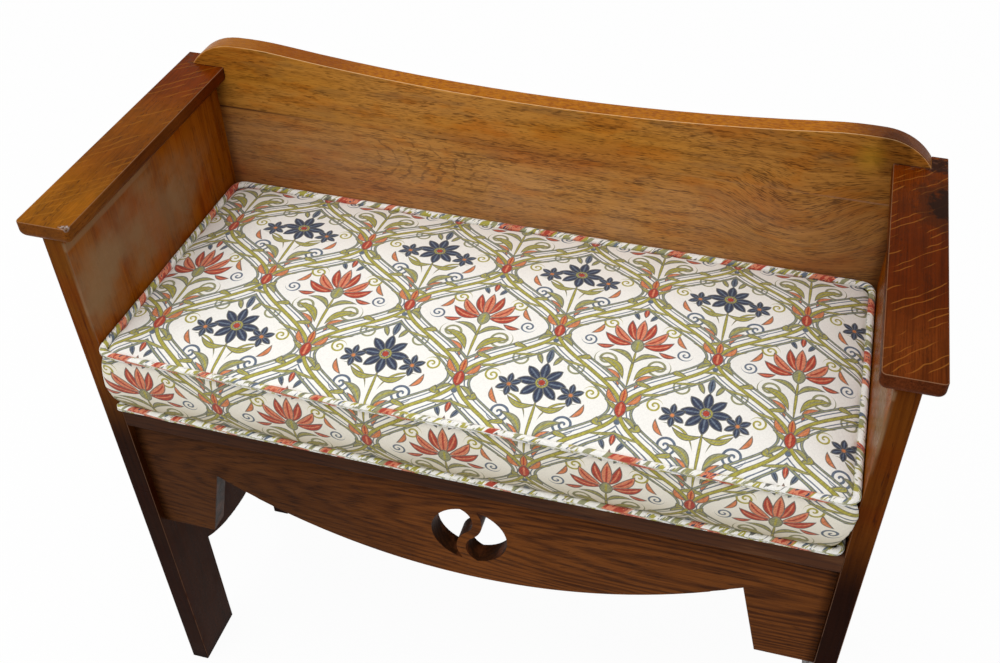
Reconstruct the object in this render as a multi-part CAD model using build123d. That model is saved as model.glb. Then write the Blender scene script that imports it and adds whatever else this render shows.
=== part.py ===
from build123d import *
import os
from math import sqrt

os.makedirs("parts", exist_ok=True)

# A narrow oak hall settle with a loose box cushion, in millimetres, +Z up, its front towards -Y.
# The origin is on the floor, in the middle of the whole width and depth.

# Overall sizes of the framed seat
body_width = 780.0
body_depth = 318.0
seat_height = 464.0
arm_height = 702.0

# Boards
panel_thick = 22.0
arm_thick = 19.0
seat_thick = 24.0
back_thick = 22.0
apron_thick = 22.0
board_arris = 1.5

# Side panels: two legs with a bowed edge between them
leg_width = 70.0
leg_height = 167.0
side_bow = 25.0

# Arm boards
arm_inner_overhang = 14.0
arm_outer_overhang = 16.0
arm_front_overhang = 8.0
arm_corner_round = 4.5
arm_lower_round = 9.0

# Back: two boards glued edge to edge, standing in rebates in the side panels
back_drop = 36.0
joint_drop = 49.0
dip_rise = 8.0
dip_bow = 16.3
ear_width = 103.0
ear_round_width = 48.0
ear_rise = 26.4
crest_arris = 2.0

# Front apron: brackets at its ends, a bowed belly between them and a round piercing
apron_setback = 9.0
bracket_drop = 165.5
bracket_foot_width = 61.0
bracket_root_width = 84.0
notch_drop = 66.0
belly_drop = 146.0
piercing_drop = 75.0
piercing_radius = 41.0
strip_width = 10.0
strip_sway = 9.5
piercing_round = 1.2

# Housings in the side panels for the seat board's ends
housing_depth = 6.0
housing_stop = 24.0
housing_clearance = 0.5

# Glue blocks in the angles behind the apron
block_width = 22.0
block_chamfer = 9.0
block_length = 90.0
block_end_gap = 93.0
corner_block_length = 110.0

# Dowels between the arms and the panels, and in the back's joint
dowel_radius = 4.0
dowel_clearance = 0.1
dowel_end_clearance = 1.0
arm_dowel_rise = 11.0
arm_dowel_depth = 20.0
arm_dowel_count = 3
arm_dowel_margin = 43.0
back_dowel_depth = 24.0
back_dowel_count = 4
back_dowel_margin = 75.0

# Countersunk screws through the back boards
screw_radius = 2.1
screw_length = 45.0
screw_tip = 5.0
screw_head_radius = 4.2
screw_head_depth = 2.6
screw_slot_width = 1.1
screw_slot_depth = 1.0
screw_clearance = 0.2
screw_end_clearance = 1.0
seat_screw_count = 4
seat_screw_margin = 68.0
lower_screw_count = 3
lower_screw_margin = 30.0
crest_screw_rise = 12.0

# Box cushion: a foam block in a cover with a piped seam above and below its boxing
cushion_overhang = 14.0
cushion_gap = 1.0
cushion_lift = 0.3
boxing_height = 81.0
boxing_bulge = 4.0
crown_height = 12.0
under_inset = 13.0
cover_thick = 2.5
cushion_corner_radius = 24.0
piping_radius = 3.75
piping_bite = 1.0
piping_lift = 0.2
crown_inset_shares = (0.08, 0.28, 0.56)
crown_rise_shares = (0.42, 0.82, 1.0)

# One overrun serves every cut
overrun = 5.0

# Places that follow from the sizes above
outer_x = body_width / 2
inner_x = outer_x - panel_thick
panel_x = (outer_x + inner_x) / 2
front_y = (cushion_overhang - body_depth) / 2
rear_y = front_y + body_depth
back_face_y = rear_y - back_thick
back_middle_y = (back_face_y + rear_y) / 2
panel_height = arm_height - arm_thick
seat_bottom = seat_height - seat_thick
back_bottom = seat_bottom - back_drop
joint_height = arm_height - joint_drop
apron_rear_y = front_y + apron_setback + apron_thick
piping_offset = (piping_radius - piping_bite) / sqrt(2)
piping_reach = piping_offset + piping_radius


def box_between(low, high):
    """Box from its low corner to its high corner."""
    sizes = [b - a for a, b in zip(low, high)]
    return Pos(*low) * Box(*sizes, align=(Align.MIN, Align.MIN, Align.MIN))


def spread(count, low, high):
    """Evenly spaced places from the low one to the high one."""
    return [low + i * (high - low) / (count - 1) for i in range(count)]


def upright_board(outline, rear, thick):
    """Board cut to an outline of X and Z, with its rear face at the given Y."""
    return extrude(Plane.XZ.offset(-rear) * outline, amount=thick)


def joined(solids):
    """Separate solids that share one file."""
    return Compound(children=[solid for shape in solids for solid in shape.solids()])


def dowel(x, y, low, high, clearance=0.0):
    """Upright dowel, or the hole for one when it is given a clearance."""
    return Pos(x, y, low) * Cylinder(
        dowel_radius + clearance, high - low, align=(Align.CENTER, Align.CENTER, Align.MIN))


def arm_dowel_places():
    return spread(arm_dowel_count, front_y + arm_dowel_margin, back_face_y - arm_dowel_margin)


def arm_dowels():
    """Dowels of the right arm."""
    low = panel_height - arm_dowel_depth + dowel_end_clearance
    high = panel_height + arm_dowel_rise - dowel_end_clearance
    return joined([dowel(panel_x, y, low, high) for y in arm_dowel_places()])


def arm_dowel_holes():
    low = panel_height - arm_dowel_depth
    high = panel_height + arm_dowel_rise
    return [dowel(panel_x, y, low, high, dowel_clearance) for y in arm_dowel_places()]


def back_dowel_places():
    return spread(back_dowel_count, back_dowel_margin - outer_x, outer_x - back_dowel_margin)


def back_dowels():
    low = joint_height - back_dowel_depth + dowel_end_clearance
    high = joint_height + back_dowel_depth - dowel_end_clearance
    return joined([dowel(x, back_middle_y, low, high) for x in back_dowel_places()])


def back_dowel_holes():
    low = joint_height - back_dowel_depth
    high = joint_height + back_dowel_depth
    return [dowel(x, back_middle_y, low, high, dowel_clearance) for x in back_dowel_places()]


def screw_places():
    """X and Z of every screw: into the side panels first, then into the seat board."""
    heights = spread(lower_screw_count, back_bottom + lower_screw_margin, joint_height - lower_screw_margin)
    heights.append(joint_height + crest_screw_rise)
    places = [(x, z) for x in (-panel_x, panel_x) for z in heights]
    reach = inner_x - seat_screw_margin
    middle = (seat_bottom + seat_height) / 2
    return places + [(x, middle) for x in spread(seat_screw_count, -reach, reach)]


def turned(points):
    """Solid turned about Y from radii and distances in front of the back's rear face."""
    profile = make_face(Polyline(*[(radius, -depth) for radius, depth in points], close=True))
    return Pos(0, rear_y, 0) * revolve(profile, axis=Axis.Y)


def back_screws():
    """Countersunk screws with their heads level with the rear face."""
    body = turned([(0, 0), (screw_head_radius, 0), (screw_radius, screw_head_depth),
                   (screw_radius, screw_length - screw_tip), (0, screw_length)])
    slot = box_between((-screw_head_radius - overrun, rear_y - screw_slot_depth, -screw_slot_width / 2),
                       (screw_head_radius + overrun, rear_y + overrun, screw_slot_width / 2))
    screw = body - slot
    return joined([Pos(x, 0, z) * screw for x, z in screw_places()])


def screw_holes():
    bore = screw_radius + screw_clearance
    depth = screw_length + screw_end_clearance
    sink = screw_head_depth * (screw_head_radius - bore) / (screw_head_radius - screw_radius)
    hole = turned([(0, 0), (screw_head_radius, 0), (bore, sink), (bore, depth), (0, depth)])
    return [Pos(x, 0, z) * hole for x, z in screw_places()]


def side_outline():
    """Side panel on Y and Z: legs, the bowed edge between them and the rebate for the back."""
    gap_front = front_y + leg_width
    gap_rear = rear_y - leg_width
    bow_low = ((gap_front + gap_rear) / 2, leg_height - side_bow)
    line = Polyline((gap_front, leg_height), (gap_front, 0), (front_y, 0), (front_y, panel_height),
                    (back_face_y, panel_height), (back_face_y, back_bottom), (rear_y, back_bottom),
                    (rear_y, 0), (gap_rear, 0), (gap_rear, leg_height))
    line += ThreePointArc((gap_rear, leg_height), bow_low, (gap_front, leg_height))
    return make_face(line)


def side_panel():
    """Right side panel with its housing, dowel holes and screw holes."""
    panel = Pos(inner_x, 0, 0) * extrude(Plane.YZ * side_outline(), amount=panel_thick)
    faces = [panel.faces().sort_by(Axis.X)[end] for end in (0, -1)]
    worn = [edge for face in faces for edge in face.edges()
            if edge.center().Z < panel_height - overrun
            and not (edge.center().Y > back_face_y - overrun and edge.center().Z > back_bottom - overrun)]
    panel = fillet(worn, board_arris)
    housing = box_between((inner_x - overrun, front_y + housing_stop, seat_bottom),
                          (inner_x + housing_depth, back_face_y + overrun, seat_height))
    return panel - [housing] - arm_dowel_holes() - screw_holes()


def arm_board():
    """Right arm board, notched round the end of the back, its lower arris rounded."""
    inner = inner_x - arm_inner_overhang
    outer = outer_x + arm_outer_overhang
    front = front_y - arm_front_overhang
    outline = make_face(Polyline((inner, front), (outer, front), (outer, rear_y), (outer_x, rear_y),
                                 (outer_x, back_face_y), (inner, back_face_y), close=True))
    outline = fillet(outline.vertices().group_by(Axis.Y)[0], arm_corner_round)
    board = extrude(Pos(0, 0, panel_height) * outline, amount=arm_thick)
    lower = [edge for edge in board.faces().sort_by(Axis.Z)[0].edges()
             if abs(edge.center().X - inner) < overrun or abs(edge.center().X - outer) < overrun
             or abs(edge.center().Y - front) < overrun]
    board = fillet(lower, arm_lower_round)
    upper = [edge for edge in board.faces().sort_by(Axis.Z)[-1].edges()
             if abs(edge.center().X - inner) < overrun or abs(edge.center().X - outer) < overrun
             or abs(edge.center().Y - front) < overrun]
    board = fillet(upper, board_arris)
    return board - arm_dowel_holes()


def crest_outline():
    """Upper back board on X and Z: a long dip, and an ear of two arcs at each end."""
    dip = arm_height + dip_rise
    reach = outer_x - ear_width
    top = (outer_x - ear_round_width, arm_height + ear_rise)
    bow = ThreePointArc((-reach, dip + dip_bow), (0, dip), (reach, dip + dip_bow))
    shoulder = TangentArc(bow @ 1, top, tangent=bow % 1)
    fall = TangentArc(top, (outer_x, arm_height), tangent=shoulder % 1)
    line = bow + shoulder + fall + mirror(shoulder, about=Plane.YZ) + mirror(fall, about=Plane.YZ)
    line += Polyline(fall @ 1, (outer_x, joint_height), (-outer_x, joint_height), (-outer_x, arm_height))
    return make_face(line)


def crest_board():
    """Upper back board with the arris of its crest worn round."""
    board = upright_board(crest_outline(), rear_y, back_thick)
    faces = [board.faces().sort_by(Axis.Y)[end] for end in (0, -1)]
    worn = [edge for face in faces for edge in face.edges() if edge.center().Z > arm_height]
    return fillet(worn, crest_arris) - back_dowel_holes() - screw_holes()


def lower_back_board():
    board = box_between((-outer_x, back_face_y, back_bottom), (outer_x, rear_y, joint_height))
    low = board.edges().filter_by(Axis.X).group_by(Axis.Z)[0]
    return fillet(low, board_arris) - back_dowel_holes() - screw_holes()


def seat_board():
    """Seat board, flush with the panels in front and housed in them behind a stop."""
    tongue = inner_x + housing_depth - housing_clearance
    stop = front_y + housing_stop
    right = [(inner_x, front_y), (inner_x, stop), (tongue, stop), (tongue, back_face_y)]
    left = [(-x, y) for x, y in reversed(right)]
    outline = make_face(Polyline(*right, *left, close=True))
    board = extrude(Pos(0, 0, seat_bottom) * outline, amount=seat_thick)
    front = board.edges().filter_by(Axis.X).group_by(Axis.Y)[0]
    return fillet(front, board_arris) - screw_holes()


def apron_outline():
    """Apron on X and Z: brackets whose inner edges lean out, and the belly's arc."""
    foot = seat_bottom - bracket_drop
    root = (inner_x - bracket_root_width, seat_bottom - notch_drop)
    right = [(inner_x, seat_bottom), (inner_x, foot), (inner_x - bracket_foot_width, foot), root]
    left = [(-x, z) for x, z in reversed(right)]
    line = Polyline(*left, *right)
    line += ThreePointArc(left[0], (0, seat_bottom - belly_drop), root)
    return make_face(line)


def half_strip():
    """Upper half of the strip across the piercing: an arc band, run on past the piercing's rim."""
    half = piercing_radius / 2
    bend = (half ** 2 + strip_sway ** 2) / (2 * strip_sway)
    band = Circle(bend + strip_width / 2) - Circle(bend - strip_width / 2)
    reach = bend + piercing_radius
    fall = reach * half / (bend - strip_sway)
    wedge = make_face(Polyline((0, 0), (reach, -fall), (reach, reach), (0, reach), close=True))
    return Pos(strip_sway - bend, half) * (band & wedge)


def piercing():
    """Two comma-shaped holes: a disc parted by a strip that sways to one side and back."""
    upper = half_strip()
    holes = Circle(piercing_radius) - upper - Rot(0, 0, 180) * upper
    tips = [vertex for vertex in holes.vertices() if abs(vertex.Y) > piercing_radius / 2]
    return Pos(0, seat_bottom - piercing_drop) * fillet(tips, piercing_round)


def front_apron():
    """Front apron with its pierced belly."""
    board = upright_board(apron_outline(), apron_rear_y, apron_thick)
    front = board.faces().sort_by(Axis.Y)[0]
    worn = [edge for edge in front.edges()
            if edge.center().Z < seat_bottom - overrun and abs(edge.center().X) < inner_x - overrun]
    board = fillet(worn, board_arris)
    holes = upright_board(piercing(), apron_rear_y + overrun, apron_thick + 2 * overrun)
    return board - holes


def block_profile():
    """Square section of a glue block with its free corner planed off."""
    cut = block_width - block_chamfer
    return make_face(Polyline((0, 0), (block_width, 0), (block_width, cut), (cut, block_width),
                              (0, block_width), close=True))


def seat_block(x):
    """Glue block in the angle between the apron and the seat board."""
    section = Plane(origin=(x - block_length / 2, apron_rear_y, seat_bottom), x_dir=(0, 0, -1),
                    z_dir=(1, 0, 0)) * block_profile()
    return extrude(section, amount=block_length)


def corner_block():
    """Glue block in the right-hand angle between the apron and the side panel."""
    section = Plane(origin=(inner_x, apron_rear_y, seat_bottom), x_dir=(-1, 0, 0),
                    z_dir=(0, 0, -1)) * block_profile()
    return extrude(section, amount=corner_block_length)


def cushion_form(shrink):
    """Box cushion with crowned top and bulging boxing, drawn in all round by the given amount."""
    seam_x = inner_x - cushion_gap - piping_reach - shrink
    seam_front = front_y - cushion_overhang + piping_reach + shrink
    seam_rear = back_face_y - cushion_gap - piping_reach - shrink
    middle = (seam_front + seam_rear) / 2
    half_depth = (seam_rear - seam_front) / 2
    corner = cushion_corner_radius - shrink
    base = seat_height + cushion_lift + shrink
    low_seam = seat_height + cushion_lift + piping_reach + piping_lift + shrink
    high_seam = low_seam + boxing_height - 2 * shrink

    def plan(inset, height):
        outline = RectangleRounded(2 * (seam_x - inset), 2 * (half_depth - inset), corner)
        return Pos(0, middle, height) * outline

    under = loft([plan(under_inset, base), plan(0, low_seam)])
    boxing = loft([plan(0, low_seam), plan(-boxing_bulge, (low_seam + high_seam) / 2), plan(0, high_seam)])
    crown = [plan(0, high_seam)]
    for inset_share, rise_share in zip(crown_inset_shares, crown_rise_shares):
        crown.append(plan(inset_share * half_depth, high_seam + rise_share * crown_height))
    return under + boxing + loft(crown)


def piping(top):
    """Piping round one seam of the cushion, set diagonally out from the seam."""
    length = 2 * (inner_x - cushion_gap - piping_radius)
    front = front_y - cushion_overhang + piping_radius
    rear = back_face_y - cushion_gap - piping_radius
    low_seam = seat_height + cushion_lift + piping_reach + piping_lift
    height = low_seam + boxing_height + piping_offset if top else low_seam - piping_offset
    outline = RectangleRounded(length, rear - front, cushion_corner_radius + piping_offset)
    path = (Pos(0, (front + rear) / 2, height) * outline).wire()
    section = Plane(origin=path @ 0, z_dir=path % 0) * Circle(piping_radius)
    return sweep(section, path=path)


def build_parts():
    """Every sub-part by its name."""
    panel = side_panel()
    arm = arm_board()
    dowels = arm_dowels()
    block = corner_block()
    block_x = inner_x - block_end_gap - block_length / 2
    foam = cushion_form(cover_thick)
    pipings = [piping(True), piping(False)]
    return {
        "side_panel_right": panel,
        "side_panel_left": mirror(panel, about=Plane.YZ),
        "arm_board_right": arm,
        "arm_board_left": mirror(arm, about=Plane.YZ),
        "arm_dowels_right": dowels,
        "arm_dowels_left": mirror(dowels, about=Plane.YZ),
        "back_crest_board": crest_board(),
        "back_lower_board": lower_back_board(),
        "back_joint_dowels": back_dowels(),
        "back_screws": back_screws(),
        "seat_board": seat_board(),
        "front_apron": front_apron(),
        "seat_block_left": seat_block(-block_x),
        "seat_block_middle": seat_block(0),
        "seat_block_right": seat_block(block_x),
        "corner_block_right": block,
        "corner_block_left": mirror(block, about=Plane.YZ),
        "cushion_foam": foam,
        "cushion_cover": cushion_form(0) - foam - pipings,
        "cushion_piping_top": pipings[0],
        "cushion_piping_bottom": pipings[1],
    }


for name, shape in build_parts().items():
    export_step(shape, f"parts/{name}.step")
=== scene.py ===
"""Dresses a narrow oak hall settle: waxed boards, screws, a printed box cushion and a plain stage."""

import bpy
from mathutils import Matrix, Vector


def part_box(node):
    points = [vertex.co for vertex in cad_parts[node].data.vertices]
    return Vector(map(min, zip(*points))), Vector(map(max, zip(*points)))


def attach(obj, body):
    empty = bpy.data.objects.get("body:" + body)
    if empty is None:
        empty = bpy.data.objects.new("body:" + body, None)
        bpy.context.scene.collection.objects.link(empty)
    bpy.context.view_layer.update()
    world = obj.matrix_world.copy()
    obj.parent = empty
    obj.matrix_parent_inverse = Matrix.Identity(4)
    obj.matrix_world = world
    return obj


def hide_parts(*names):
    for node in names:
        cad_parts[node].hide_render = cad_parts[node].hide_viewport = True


bl_info = {
    "name": "Hall settle",
    "version": (1, 0, 0),
    "blender": (4, 5, 0),
    "location": "3D View > Sidebar > Settle",
    "description": "Waxed oak, a piped cushion and a plain stage for a narrow hall settle",
    "category": "Object",
}

from math import cos, pi, radians, sin

import bpy
import numpy as np
from mathutils import Matrix, Vector

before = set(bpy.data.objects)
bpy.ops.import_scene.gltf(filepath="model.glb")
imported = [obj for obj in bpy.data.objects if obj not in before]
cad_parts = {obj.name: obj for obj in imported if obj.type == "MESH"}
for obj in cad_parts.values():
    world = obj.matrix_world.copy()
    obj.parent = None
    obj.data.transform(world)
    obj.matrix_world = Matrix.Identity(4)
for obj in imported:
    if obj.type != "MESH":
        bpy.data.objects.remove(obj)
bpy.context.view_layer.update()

# Planes of the framed seat that finishes are placed by
back_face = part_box("back_crest_board")[0].y
joint_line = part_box("back_crest_board")[0].z
arm_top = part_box("arm_board_right")[1].z
arm_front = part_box("arm_board_right")[0].y
seat_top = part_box("seat_board")[1].z
inner_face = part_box("side_panel_right")[0].x
outer_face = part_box("side_panel_right")[1].x


# Properties that a user would change

def tone(name, description, default):
    """A colour property."""
    return bpy.props.FloatVectorProperty(
        name=name, description=description, subtype="COLOR", size=3, min=0.0, max=1.0, default=default)


def span(name, description, default, high=1.0):
    """A length property in metres."""
    return bpy.props.FloatProperty(
        name=name, description=description, unit="LENGTH", min=0.0, max=high, precision=4, default=default)


def share(name, description, default, high=1.0):
    """A plain number."""
    return bpy.props.FloatProperty(name=name, description=description, min=0.0, max=high, default=default)


class BackOak(bpy.types.PropertyGroup):
    pale: tone("Pale wood", "Early wood of the back boards", (0.53, 0.246, 0.061))
    deep: tone("Deep wood", "Late wood of the back boards", (0.32, 0.129, 0.026))
    pores: tone("Pores", "Dirt and wax in the open pores", (0.11, 0.046, 0.018))
    # This colour is rubbed wood and a painted highlight along the crest's front edge.
    wear_and_highlight: tone("Worn arris", "Rubbed wood along the crest's front edge", (0.85, 0.6, 0.33))
    ring_spacing: span("Ring spacing", "Distance between two growth rings", 0.0062)


class ArmOak(bpy.types.PropertyGroup):
    pale: tone("Pale wood", "Early wood of the right arm", (0.082, 0.013, 0.0007))
    deep: tone("Deep wood", "Late wood of the right arm", (0.028, 0.0045, 0.0005))
    golden: tone("Golden wood", "Faded wood of the left arm", (0.235, 0.082, 0.005))
    fleck: tone("Ray fleck", "Silver grain across the arms", (0.34, 0.12, 0.018))
    stain: tone("Stain", "Black water stain on the right arm", (0.011, 0.005, 0.003))
    # This colour is rubbed wood and a painted highlight along the arms' upper edges.
    wear_and_highlight: tone("Worn arris", "Rubbed wood along the arms' upper edges", (0.32, 0.18, 0.1))


class PanelOak(bpy.types.PropertyGroup):
    pale: tone("Pale wood", "Early wood of the side panels", (0.3, 0.082, 0.004))
    deep: tone("Deep wood", "Late wood of the side panels", (0.165, 0.036, 0.002))
    # This colour is laid as a painted reflection of the cushion on the panels' inner faces.
    bloom: tone("Wax bloom", "Dull wax left on the panels' inner faces", (0.25, 0.15, 0.075))
    # This colour is painted shade: the panels turn to it below the seat.
    leg_shade: tone("Leg wood", "Darker wood of the legs", (0.036, 0.0085, 0.0015))


class ApronOak(bpy.types.PropertyGroup):
    pale: tone("Pale wood", "Early wood of the apron", (0.168, 0.052, 0.0112))
    deep: tone("Deep wood", "Late wood of the apron", (0.055, 0.017, 0.006))
    pores: tone("Pores", "Dirt and wax in the open pores", (0.02, 0.008, 0.004))
    seat: tone("Seat wood", "Dark wood of the seat board", (0.075, 0.028, 0.013))


class CushionCloth(bpy.types.PropertyGroup):
    ground: tone("Ground", "Cream ground of the cloth", (0.88, 0.86, 0.81))
    coral: tone("Coral", "Coral red of the palmettes", (0.43, 0.06, 0.036))
    salmon: tone("Salmon", "Pale coral inside the petals", (0.68, 0.235, 0.13))
    orange: tone("Orange", "Soft orange of the crescents", (0.62, 0.215, 0.075))
    navy: tone("Navy", "Dark blue of the rosettes", (0.046, 0.055, 0.095))
    steel: tone("Steel blue", "Greyed blue of buds and ribbons", (0.13, 0.165, 0.22))
    olive: tone("Olive", "Yellow green of stems and leaves", (0.41, 0.37, 0.07))
    sage: tone("Sage", "Greyed green of the broad leaves", (0.31, 0.31, 0.17))
    outline: tone("Outline", "Dark thread round the motifs", (0.16, 0.16, 0.14))
    column: span("Column width", "From one column of motifs to the next", 0.078)
    repeat: span("Repeat", "Height of the pattern's repeat", 0.164)
    puff: span("Puff", "How far the stuffing may push the cloth out", 0.0035, 0.03)
    cell: span("Cell", "Size of the cloth mesh before it is refined", 0.005, 0.02)
    pressure: share("Pressure", "Pressure of the stuffing", 4.0, 20.0)
    frames: bpy.props.IntProperty(name="Frames", description="Steps of the cloth's settling", min=1, max=60,
                                  default=20)


class Fixings(bpy.types.PropertyGroup):
    head_radius: span("Head radius", "Radius of a screw's head", 0.0042, 0.02)
    seed: bpy.props.IntProperty(name="Seed", description="Turns the screws' slots", min=0, default=7)


class StageLight(bpy.types.PropertyGroup):
    floor: tone("Floor", "Colour of the floor", (0.86, 0.86, 0.86))
    sky_high: share("Sky overhead", "Strength of the light from above", 1.05, 4.0)
    sky_low: share("Sky at the side", "Strength of the light near the horizon", 0.28, 4.0)
    lamp: bpy.props.FloatProperty(name="Soft box", description="Power of the soft box", unit="POWER", min=0.0,
                                  default=16.5)
    paper: share("Paper white", "How far the seen backdrop is lifted to white", 0.95)


# Nodes

class Term:
    """A node's output that is reckoned with like a number or a point."""

    def __init__(self, bench, socket):
        self.bench = bench
        self.socket = socket

    def reckon(self, operation, *terms, turned=False):
        """One maths node; turned puts this term last."""
        broad = self.socket.type != "VALUE"
        node = self.bench.put("ShaderNodeVectorMath" if broad else "ShaderNodeMath", operation=operation)
        sockets = [node.inputs[0], node.inputs["Scale"]] if operation == "SCALE" else node.inputs
        for socket, term in zip(sockets, (*terms, self) if turned else (self, *terms)):
            self.bench.feed(socket, term)
        point = broad and operation not in ("LENGTH", "DOT_PRODUCT", "DISTANCE")
        return Term(self.bench, node.outputs["Vector" if point else "Value"])

    def __getattr__(self, name):
        """Any other operation of the maths nodes, by its name in small letters."""
        return lambda *terms: self.reckon(name.upper(), *terms)

    def __add__(self, other):
        return self.reckon("ADD", other)

    def __sub__(self, other):
        return self.reckon("SUBTRACT", other)

    def __rsub__(self, other):
        return self.reckon("SUBTRACT", other, turned=True)

    def __mul__(self, other):
        number = other.socket.type == "VALUE" if isinstance(other, Term) else isinstance(other, (int, float))
        return self.reckon("SCALE" if number and self.socket.type != "VALUE" else "MULTIPLY", other)

    def __truediv__(self, other):
        return self.reckon("DIVIDE", other)

    def __rtruediv__(self, other):
        return self.reckon("DIVIDE", other, turned=True)

    def __abs__(self):
        return self.reckon("ABSOLUTE")

    def clamped(self):
        """Keeps the sum between 0 and 1."""
        self.socket.node.use_clamp = True
        return self

    def split(self):
        node = self.bench.put("ShaderNodeSeparateXYZ")
        self.bench.feed(node.inputs[0], self)
        return [Term(self.bench, part) for part in node.outputs]

    def step(self, start, end, low=0.0, high=1.0):
        """Smooth step from low at start to high at end."""
        node = self.bench.put("ShaderNodeMapRange", interpolation_type="SMOOTHSTEP")
        for socket, term in zip(node.inputs, (self, start, end, low, high)):
            self.bench.feed(socket, term)
        return Term(self.bench, node.outputs[0])

    def noise(self, detail=2.0, roughness=0.5):
        node = self.bench.put("ShaderNodeTexNoise")
        self.bench.fill(node, Vector=self, Scale=1.0, Detail=detail, Roughness=roughness)
        return Term(self.bench, node.outputs[0])

    def turn(self, angle, axis="Z", centre=(0.0, 0.0, 0.0)):
        node = self.bench.put("ShaderNodeVectorRotate", rotation_type=axis + "_AXIS")
        self.bench.fill(node, Vector=self, Angle=angle, Center=centre)
        return Term(self.bench, node.outputs[0])


class Bench:
    """Puts nodes in one tree and joins them."""

    def __init__(self, tree):
        self.tree = tree

    def put(self, kind, **settings):
        node = self.tree.nodes.new(kind)
        for name, value in settings.items():
            setattr(node, name, value)
        return node

    def feed(self, socket, value):
        if isinstance(value, Term):
            value = value.socket
        if isinstance(value, bpy.types.NodeSocket):
            self.tree.links.new(value, socket)
        elif socket.type == "RGBA" and len(value) == 3:
            socket.default_value = (*value, 1.0)
        else:
            socket.default_value = value

    def fill(self, node, **values):
        """Feeds a node's inputs by their labels."""
        for label, value in values.items():
            self.feed(node.inputs[label.replace("_", " ")], value)
        return node.outputs

    def read(self, kind, label, **settings):
        """One output of a new node."""
        return Term(self, self.put(kind, **settings).outputs[label])

    def join(self, x, y, z=0.0):
        node = self.put("ShaderNodeCombineXYZ")
        for socket, term in zip(node.inputs, (x, y, z)):
            self.feed(socket, term)
        return Term(self, node.outputs[0])

    def mix(self, amount, low, high, kind="MIX"):
        node = self.put("ShaderNodeMix", data_type="RGBA", blend_type=kind)
        for place, term in ((0, amount), (6, low), (7, high)):
            self.feed(node.inputs[place], term)
        return Term(self, node.outputs[2])

    def group(self, name, **values):
        outputs = self.fill(self.put("ShaderNodeGroup", node_tree=bpy.data.node_groups[name]), **values)
        return {output.name: Term(self, output) for output in outputs}


ORIGIN = (0, 0, 0)
GRAIN_DEPTH = 0.0002
MILLIMETRES = 1000.0
AMBER = (0.95, 0.6, 0.34)
FLOOR_REACH = 14.0
SOCKETS = {"v": "NodeSocketVector", "c": "NodeSocketColor", "f": "NodeSocketFloat"}


def new_group(name, inputs, outputs):
    """A shader node group from rows of kind, label and default; gives its bench, inputs and outputs."""
    tree = bpy.data.node_groups.new(name, "ShaderNodeTree")
    for kind, label, value in inputs:
        socket = tree.interface.new_socket(label, in_out="INPUT", socket_type=SOCKETS[kind])
        socket.default_value = (*value, 1.0) if kind == "c" else value
    for kind, label in outputs:
        tree.interface.new_socket(label, in_out="OUTPUT", socket_type=SOCKETS[kind])
    bench = Bench(tree)
    given = {output.name: Term(bench, output) for output in bench.put("NodeGroupInput").outputs}
    return bench, given, bench.put("NodeGroupOutput").inputs


def make_oak_grain():
    """Plain sawn oak: rings that may arch, fibres and open pores. Place has the grain along X, in metres."""
    bench, given, result = new_group("oak_grain", [
        ("v", "Place", ORIGIN), ("c", "Pale", (0.5, 0.3, 0.1)), ("c", "Deep", (0.3, 0.1, 0.03)),
        ("c", "Pores", (0.1, 0.05, 0.02)), ("f", "Ring Spacing", 0.006), ("f", "Ring Contrast", 0.6),
        ("f", "Ring Sharpness", 1.6), ("f", "Arch", 0.1), ("f", "Heart", 0.03), ("f", "Waver", 1.0),
        ("f", "Pore Amount", 0.5), ("f", "Pore Length", 0.012), ("f", "Pore Width", 0.0013),
        ("f", "Pore Depth", 0.5), ("f", "Cloud", 0.5)],
        [("c", "Colour"), ("f", "Height")])
    place = given["Place"]
    slow = (place * (2.4, 10, 10)).noise()
    drift = (slow - 0.5) * given["Waver"] * 0.05
    along, across, through = place.split()
    run = along * given["Arch"] + given["Heart"]
    deep = through + 0.04
    radius = bench.join(run, across + drift, deep).length()
    fine = (place * (11, 150, 150)).noise()
    turns = radius / given["Ring Spacing"]
    turns = fine * 1.3 + turns
    wave = (turns * 2 * pi).sine() * 0.5 + 0.5
    ring = wave.power(given["Ring Sharpness"])
    fibre = (place * (14, 620, 620)).noise(3, 0.75)
    cloud = (place * (6, 16, 16)).noise(3, 0.6)
    vein = (place * (11, 330, 330)).noise(2, 0.6)
    tint = ring * given["Ring Contrast"]
    tint = (vein - 0.45) * 0.9 + tint
    tint = (fibre - 0.42) * 1.5 + tint
    clouds = (cloud - 0.45) * given["Cloud"]
    tint = (clouds * 3.0 + tint).clamped()
    wood = bench.mix(tint, given["Pale"], given["Deep"])
    width = 1.0 / given["Pore Width"]
    stretch = bench.join(1.0 / given["Pore Length"], width, width)
    streak = (place * stretch).noise(1, 0.4)
    clump = (place * (14, 75, 75)).noise()
    level = (clump - 0.5) * 0.36 + streak
    level = (ring - 0.4) * 0.08 + level
    gate = 0.76 - given["Pore Amount"] * 0.3
    pore = level.step(gate, gate + 0.2)
    bench.feed(result["Colour"], bench.mix(pore * given["Pore Depth"], wood, given["Pores"]))
    bench.feed(result["Height"], pore * -1.0 + fibre * 0.5)


def make_arris_wear_and_highlight():
    """Mask of the rubbed arrises of a board whose thickness runs along Across, where pale wear and a painted
    highlight are laid.
    """
    bench, given, result = new_group("arris_wear", [
        ("v", "Place", ORIGIN), ("v", "Across", (0, 1, 0)), ("f", "Breakup", 0.5), ("f", "Narrow", 0.6)],
        [("f", "Mask")])
    normal = bench.read("ShaderNodeTexCoord", "Normal")
    facing = normal.dot_product(given["Across"])
    square = facing * facing
    slope = square * (1.0 - square) * 4.0
    rubbed = slope.step(given["Narrow"], 0.99)
    patches = (given["Place"] * 38.0).noise(3, 0.6)
    gate = given["Breakup"] * 0.6
    kept = patches.step(gate - 0.12, gate + 0.1)
    bench.feed(result["Mask"], rubbed * kept)


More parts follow.
